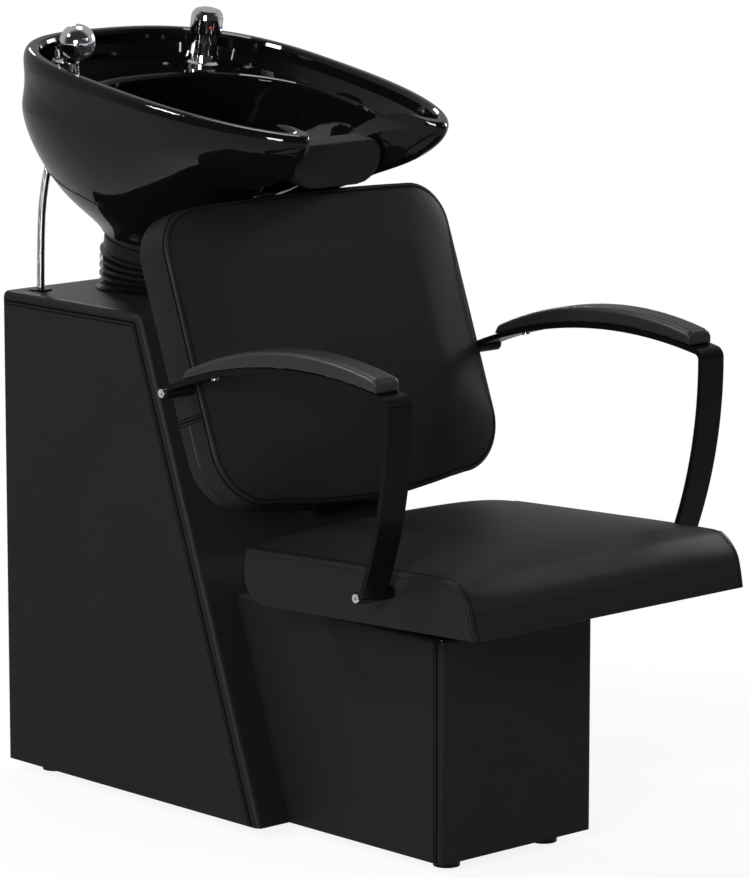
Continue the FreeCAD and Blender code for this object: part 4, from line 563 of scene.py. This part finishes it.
ringCount = len(hose["ring"])
hoseLine, hoseLength = evenPoints(splineLine(hose["route"], "hoseLine"), hose["pitch"] / ringCount)
phase = np.arange(len(hoseLine)) % ringCount
ribs = hose["groove"] * np.array(hose["ring"])[phase]
showerHose = tubeMesh("showerHose", hoseLine, hose["radius"] - ribs, hose["sides"])
smoothEdges(showerHose, 50)
# groove depth kept as a mask for the painted shade in the hose grooves
hoseGrooveShade = showerHose.data.attributes.new("groove", "FLOAT", "POINT")
hoseGrooveShade.data.foreach_set("value", np.repeat(np.clip(ribs / hose["groove"], 0, 1), hose["sides"]))
dress(showerHose, "woundSteel")
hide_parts("shower_hose")
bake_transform(showerHose)
print("hose length %.0f mm" % (1000 * hoseLength))

# rubber boot between cabinet and bowl
boot = copyNode("boot", "rubberBoot")
smoothEdges(boot, 35)
dress(boot, "bootRubber")
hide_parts("boot")
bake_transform(boot)
print("boot ready")


# a quarter round: 0 at the start, 1 with an upright end
def quarter(share):
    return 1 - np.sqrt(1 - np.clip(share, 0, 1) ** 2)


def finishPad(piece, finish, slotName, body, *replaced, fill=0.6):
    smoothEdges(piece, 45)
    dress(piece, finish)
    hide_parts(*replaced)
    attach(piece, body)


# sewing: every line is a run of points, joined into one piece
stitch = {"pitch": 0.0048, "start": 0.14, "end": 0.86}


def threadPiece(name, lines, radius, body, finish="thread"):
    curve = bpy.data.curves.new(name, "CURVE")
    curve.dimensions = "3D"
    curve.bevel_depth = radius
    curve.bevel_resolution = 2
    curve.use_fill_caps = True
    for line in lines:
        spline = curve.splines.new("POLY")
        spline.points.add(len(line) - 1)
        for spot, point in zip(line, spline.points):
            point.co = (*spot, 1)
    piece = bpy.data.objects.new(name, curve)
    scene.collection.objects.link(piece)
    activate(piece)
    bpy.ops.object.convert(target="MESH")
    piece = bpy.context.object
    smoothEdges(piece, 60)
    dress(piece, finish)
    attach(piece, body)


def stitches(line):
    spots = evenPoints(np.asarray(line), stitch["pitch"])[0]
    start, end = stitch["start"], stitch["end"]
    return [[a + (b - a) * start, a + (b - a) * end] for a, b in zip(spots, spots[1:])]


def placed(place, points):
    turn = np.array(place.to_3x3())
    return np.asarray(points) @ turn.T + np.array(place.translation)


# seat: flat side panels, and a top panel that rolls over the front edge
seat = {"half": 0.236, "length": 0.414, "height": 0.070, "lean": 0.018, "bulge": 0.003, "belly": 0.010,
        "crown": 0.018, "crownShare": 0.40, "roll": 0.032, "rollFrom": 0.50, "heel": 0.034, "heelTo": 0.45,
        "rearRound": 0.006, "heldLow": 0.030, "heldEdge": 0.006, "pressure": 4.0, "swell": 0.005,
        "hem": 0.0035}


def seatPoints(across, along, up):
    across, along, up = np.broadcast_arrays(across, along, up)
    rolled = quarter((up - seat["rollFrom"]) / (1 - seat["rollFrom"]))
    front = -seat["length"] + seat["lean"] * up + seat["roll"] * rolled
    front = front - seat["belly"] * (1 - across ** 8) * np.sin(np.pi * up) * np.clip(2 * up, 0, 1)
    rear = -seat["heel"] * quarter(1 - up / seat["heelTo"]) - seat["rearRound"] * quarter((up - 0.8) / 0.2)
    y = front + (rear - front) * along
    swell = np.sqrt(1 - (1 - np.clip(along / seat["crownShare"], 0, 1)) ** 2)
    swell = swell * (1 - np.abs(across) ** 4) * (1 - 0.25 * along ** 8)
    z = seat["height"] * up + seat["crown"] * up ** 2 * swell
    x = across * (seat["half"] - seat["bulge"] + seat["bulge"] * np.sin(np.pi * up))
    return np.stack([x, y, z], axis=-1)


seatPad = cubeGrid("seatPad", 39)
spots = readPoints(seatPad)
writePoints(seatPad, seatPoints(spots[:, 0], (spots[:, 1] + 1) / 2, (spots[:, 2] + 1) / 2))
puff(seatPad, lambda p: p[2] < seat["heldLow"] or abs(p[0]) > seat["half"] - seat["heldEdge"],
     seat["pressure"], seat["swell"])
addModifier(seatPad, "BEVEL", width=seat["hem"], segments=2, limit_method="ANGLE",
            angle_limit=math.radians(50))
addModifier(seatPad, "SUBSURF", levels=1, render_levels=1)
carry(seatPad, seatPlace)
finishPad(seatPad, "leather", "leather", "base", "seat_cushion")

seatSewing = {"back": 0.010, "run": 0.97, "up": 0.95, "out": 0.0002, "stitchIn": 0.972, "stitchTo": 0.98,
              "welt": 0.0016, "thread": 0.0006}
seatSeams, seatStitches = [], []
rise = np.linspace(0, 1, 40)
for side in (-1, 1):
    upright = seatPoints(side, seatSewing["back"], rise * seatSewing["up"])
    level = seatPoints(side, seatSewing["back"] + seatSewing["run"] * rise, seatSewing["up"])
    edge = np.concatenate([upright, level])
    edge[:, 0] += side * seatSewing["out"]
    seatSeams.append(placed(seatPlace, edge))
    across = side * seatSewing["stitchIn"]
    upright = seatPoints(across, 0.0, rise * seatSewing["stitchTo"])
    level = seatPoints(across, seatSewing["stitchTo"] * rise, 1.0)
    seatStitches += stitches(placed(seatPlace, np.concatenate([upright, level])))
threadPiece("seatSeam", seatSeams, seatSewing["welt"], "base", "leather")
threadPiece("seatStitches", seatStitches, seatSewing["thread"], "base")
print("seat ready")

# backrest: crowned face, side band with a channel below, hollow behind for the board
back = {"half": 0.245, "tall": 0.406, "band": 0.050, "crown": 0.012, "reach": 0.070, "border": 0.026,
        "recess": 0.002, "low": 0.084, "lowIn": 0.021, "lowUp": 0.037, "bow": 0.014, "high": 0.058,
        "topBow": 0.004, "topPull": 0.003, "join": 0.137, "channel": 0.029, "channelDeep": 0.003,
        "channelWide": 0.0018, "bandBulge": 0.0015, "spread": 1.6, "heldFrom": -0.004, "pressure": 3.0,
        "swell": 0.004}
backMiddle = back["tall"] / 2


# an arc through three points
def arcPoints(a, m, b, count=24):
    (ax, ay), (mx, my), (bx, by) = a, m, b
    d = 2 * (ax * (my - by) + mx * (by - ay) + bx * (ay - my))
    sa, sm, sb = ax * ax + ay * ay, mx * mx + my * my, bx * bx + by * by
    cx = (sa * (my - by) + sm * (by - ay) + sb * (ay - my)) / d
    cy = (sa * (bx - mx) + sm * (ax - bx) + sb * (mx - ax)) / d
    radius = math.hypot(ax - cx, ay - cy)
    start, middle, end = [math.atan2(y - cy, x - cx) for x, y in (a, m, b)]
    while middle < start:
        middle += 2 * math.pi
    while end < middle:
        end += 2 * math.pi
    if end - start > 2 * math.pi:
        end -= 2 * math.pi
    turns = np.linspace(start, end, count)
    return np.stack([cx + radius * np.cos(turns), cy + radius * np.sin(turns)], axis=1)


def backOutline():
    half, tall, low, bow, high = (back[name] for name in ("half", "tall", "low", "bow", "high"))
    slack = 0.293 * high
    corner = (half - high, tall - back["topBow"])
    right = [
        arcPoints((half - low, bow), (half - back["lowIn"], back["lowUp"]), (half, low)),
        np.linspace((half, low), (half, tall - high), 24),
        arcPoints((half, tall - high), (half - slack, tall - slack - back["topPull"]), corner),
    ]
    top = arcPoints(corner, (0, tall), (-corner[0], corner[1]), 48)
    left = [run[::-1] * np.array([-1, 1]) for run in right[::-1]]
    foot = arcPoints((low - half, bow), (0, 0), (half - low, bow), 48)
    return np.concatenate(right + [top] + left + [foot])


outline = backOutline()
outlineTurn = np.arctan2(outline[:, 1] - backMiddle, outline[:, 0])
outlineReach = np.hypot(outline[:, 1] - backMiddle, outline[:, 0])
order = np.argsort(outlineTurn)


def reachAt(turn):
    return np.interp(turn, outlineTurn[order], outlineReach[order], period=2 * math.pi)


def backRing(turn, inset, depth):
    turn, inset, depth = np.broadcast_arrays(turn, inset, depth)
    reach = reachAt(turn) - inset
    return np.stack([reach * np.cos(turn), depth, backMiddle + reach * np.sin(turn)], axis=-1)


backCuts = 47
backPad = cubeGrid("backPad", backCuts)
spots = readPoints(backPad)
middleOut = np.maximum(np.abs(spots[:, 0]), np.abs(spots[:, 2]))
turn = np.arctan2(spots[:, 2] * backMiddle, spots[:, 0] * back["half"])
edge = reachAt(turn)
onFace, onRear = spots[:, 1] < -0.999, spots[:, 1] > 0.999
depth = back["band"] * (spots[:, 1] + 1) / 2
height = backMiddle + edge * np.sin(turn)
groove = back["channelDeep"] * np.exp(-((depth - back["channel"]) / back["channelWide"]) ** 2)
groove = groove * (height < back["join"])
inset = groove - back["bandBulge"] * np.sin(np.pi * depth / back["band"])
faceInset = edge * (1 - middleOut) ** back["spread"]
faceRise = back["crown"] * np.sqrt(1 - (1 - np.clip(faceInset / back["reach"], 0, 1)) ** 2)
ringNumber = np.round(middleOut * (backCuts + 1) / 2)
outer = (backCuts + 1) / 2
rearInset = np.where(ringNumber >= outer - 2, back["border"] * (outer - ringNumber) / 2,
                     back["border"] + (edge - back["border"]) * (1 - middleOut * outer / (outer - 3)))
rearDepth = np.where(ringNumber >= outer - 2, back["band"], back["recess"])
inset = np.where(onFace, faceInset, np.where(onRear, rearInset, inset))
depth = np.where(onFace, -faceRise, np.where(onRear, rearDepth, depth))
writePoints(backPad, backRing(turn, inset, depth))
puff(backPad, lambda p: p[1] > back["heldFrom"], back["pressure"], back["swell"])
addModifier(backPad, "SUBSURF", levels=1, render_levels=1)
carry(backPad, backPlace)
finishPad(backPad, "leather", "leather", "base", "back_cushion")

# rear panel of the backrest, set into the border
panel = {"gap": 0.0006, "depth": 0.0212, "round": 0.004}
rearPanel = cubeGrid("rearPanel", 23)
spots = readPoints(rearPanel)
middleOut = np.maximum(np.abs(spots[:, 0]), np.abs(spots[:, 2]))
turn = np.arctan2(spots[:, 2] * backMiddle, spots[:, 0] * back["half"])
panelInset = (reachAt(turn) - back["border"]) * (1 - middleOut) ** back["spread"]
panelInset = back["border"] + panel["gap"] + panelInset
panelDepth = panel["depth"] + (back["band"] - panel["depth"]) * (spots[:, 1] + 1) / 2
panelDepth -= np.where(spots[:, 1] > 0.999, panel["round"] * quarter((middleOut - 0.90) / 0.10), 0)
writePoints(rearPanel, backRing(turn, panelInset, panelDepth))
carry(rearPanel, backPlace)
finishPad(rearPanel, "leather", "leather", "base", "back_shell", fill=0.3)

# sewing round the face, and across the band where the channel begins
backSewing = {"out": 0.0002, "behind": 0.0006, "stitchIn": 0.0055, "stitchRise": 0.0050, "apart": 0.004,
              "bulge": 0.0016, "seam": 0.0010, "thread": 0.0007}
backTurns = np.linspace(-math.pi, math.pi, 241)
backSeam = placed(backPlace, backRing(backTurns, -backSewing["out"], backSewing["behind"]))
backTop = placed(backPlace, backRing(backTurns, backSewing["stitchIn"], -backSewing["stitchRise"]))
joinLines, joinStitches = [], []
for side in (-1, 1):
    for step, lines in ((0, joinLines), (1, joinStitches), (-1, joinStitches)):
        height = back["join"] + step * backSewing["apart"]
        depths = np.linspace(0.001, back["band"] - 0.001, 24)
        bulge = backSewing["bulge"] * np.sin(np.pi * depths / back["band"])
        line = np.stack([side * (back["half"] + bulge), depths, np.full(24, height)], axis=1)
        if lines is joinLines:
            lines.append(placed(backPlace, line))
        else:
            lines += stitches(placed(backPlace, line))
threadPiece("backSeam", [backSeam] + joinLines, backSewing["seam"], "base")
threadPiece("backStitches", stitches(backTop) + joinStitches, backSewing["thread"], "base")
print("backrest ready")

# arm pads and neck rest: moulded skin, all edges rounded over
moulded = {
    "armPadLeft": {"node": "arm_pad_left", "finish": "armSkin", "slot": "pad_leather", "body": "base",
                   "voxel": 0.0025, "rounds": 8},
    "armPadRight": {"node": "arm_pad_right", "finish": "armSkin", "slot": "pad_leather", "body": "base",
                    "voxel": 0.0025, "rounds": 8},
    "neckRest": {"node": "neck_rest", "finish": "neckRubber", "slot": "neck_rubber", "body": "bowl",
                 "voxel": 0.0020, "rounds": 30},
}
for name, values in moulded.items():
    piece = copyNode(values["node"], name)
    addModifier(piece, "REMESH", mode="VOXEL", voxel_size=values["voxel"])
    addModifier(piece, "SMOOTH", factor=0.5, iterations=values["rounds"])
    finishPad(piece, values["finish"], values["slot"], values["body"], values["node"], fill=0.5)
print("arm pads and neck rest ready")

# cabinet: sewn cover over top, sides and slanted front, open behind and below
cabinet = {"half": 0.185, "height": 0.640, "topDepth": 0.280, "bottomDepth": 0.510, "foot": 0.015,
           "round": 0.011, "skin": 0.0036, "soft": 0.0012}
pedestal = {"half": 0.1325, "height": 0.2866, "reach": 0.795, "round": 0.007, "fold": 0.018}
cabinetTop = cabinet["foot"] + cabinet["height"]


def slantAt(z):
    slope = (cabinet["bottomDepth"] - cabinet["topDepth"]) / cabinet["height"]
    return originShift - cabinet["topDepth"] - slope * (cabinetTop - z)


def coverPiece(name, half, height, frontAt, rearAt, dropped, edgeRound, node):
    piece = cubeGrid(name, 31)
    spots = readPoints(piece)
    along, up = (spots[:, 1] + 1) / 2, (spots[:, 2] + 1) / 2
    z = cabinet["foot"] + height * up
    front, rear = frontAt(z), rearAt(z)
    soft = cabinet["soft"] * np.sin(np.pi * up) * np.sin(np.pi * along)
    x = spots[:, 0] * (half - cabinet["soft"])
    x = x + np.where(np.abs(spots[:, 0]) > 0.999, np.sign(spots[:, 0]) * soft, 0)
    writePoints(piece, np.stack([x, front + (rear - front) * along, z], axis=1))
    dropFaces(piece, dropped)
    addModifier(piece, "BEVEL", width=edgeRound, segments=4, limit_method="ANGLE",
                angle_limit=math.radians(40))
    addModifier(piece, "SOLIDIFY", thickness=cabinet["skin"], offset=-1)
    smoothEdges(piece, 50)
    dress(piece, "leather")
    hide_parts(node)
    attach(piece, "base")


# an upright face, the same at every height
def flat(value):
    return lambda z: np.full_like(np.asarray(z, float), value)


# the pedestal is open behind, below, and above but for the cover folded over its boards
def pedestalOpen(centre, normal):
    inside = abs(centre.x) < pedestal["half"] - pedestal["fold"]
    forward = centre.y > pedestalFront + pedestal["fold"]
    behind = centre.y < slantAt(centre.z) - pedestal["fold"]
    above = normal.z > 0.9 and inside and forward and behind
    return above or normal.z < -0.9 or (normal.z <= 0.9 and normal.y > 0.3)


def cabinetOpen(centre, normal):
    return normal.y > 0.9 or normal.z < -0.9


pedestalFront = originShift - pedestal["reach"]
coverPiece("cabinetCover", cabinet["half"], cabinet["height"], slantAt, flat(originShift),
           cabinetOpen, cabinet["round"], "cabinet_cover")
coverPiece("pedestalCover", pedestal["half"], pedestal["height"], flat(pedestalFront), slantAt,
           pedestalOpen, pedestal["round"], "pedestal_cover")

# sewing beside the edges of both covers
coverSewing = {"sunk": 0.0009, "seamIn": 0.0125, "stitchIn": 0.0175, "slant": 1.06, "trim": 0.002,
               "cornerIn": 0.010, "cornerStitch": 0.005, "seam": 0.0013, "thread": 0.0007}
coverSeams, coverStitches = [], []
trim = coverSewing["trim"]
for side in (-1, 1):
    for inset, lines in ((coverSewing["seamIn"], coverSeams), (coverSewing["stitchIn"], coverStitches)):
        across = side * (cabinet["half"] - coverSewing["sunk"])
        heights = np.linspace(cabinet["foot"] + trim, cabinetTop - inset, 60)
        slanted = slantAt(heights) + inset * coverSewing["slant"]
        slanted = np.stack([np.full(60, across), slanted, heights], axis=1)
        depths = np.linspace(slantAt(cabinetTop) + inset, originShift - trim, 40)
        level = np.stack([np.full(40, across), depths, np.full(40, cabinetTop - inset)], axis=1)
        run = np.concatenate([slanted, level])
        if lines is coverSeams:
            lines.append(run)
        else:
            lines += stitches(run)
    heights = np.linspace(cabinet["foot"] + trim, cabinet["foot"] + pedestal["height"] - trim, 40)
    across = side * (pedestal["half"] - coverSewing["sunk"])
    depths = np.full(40, pedestalFront + coverSewing["cornerIn"])
    corner = np.stack([np.full(40, across), depths, heights], axis=1)
    coverSeams.append(corner)
    coverStitches += stitches(corner + np.array([0, coverSewing["cornerStitch"], 0]))
threadPiece("coverSeams", coverSeams, coverSewing["seam"], "base")
threadPiece("coverStitches", coverStitches, coverSewing["thread"], "base")
print("covers ready")
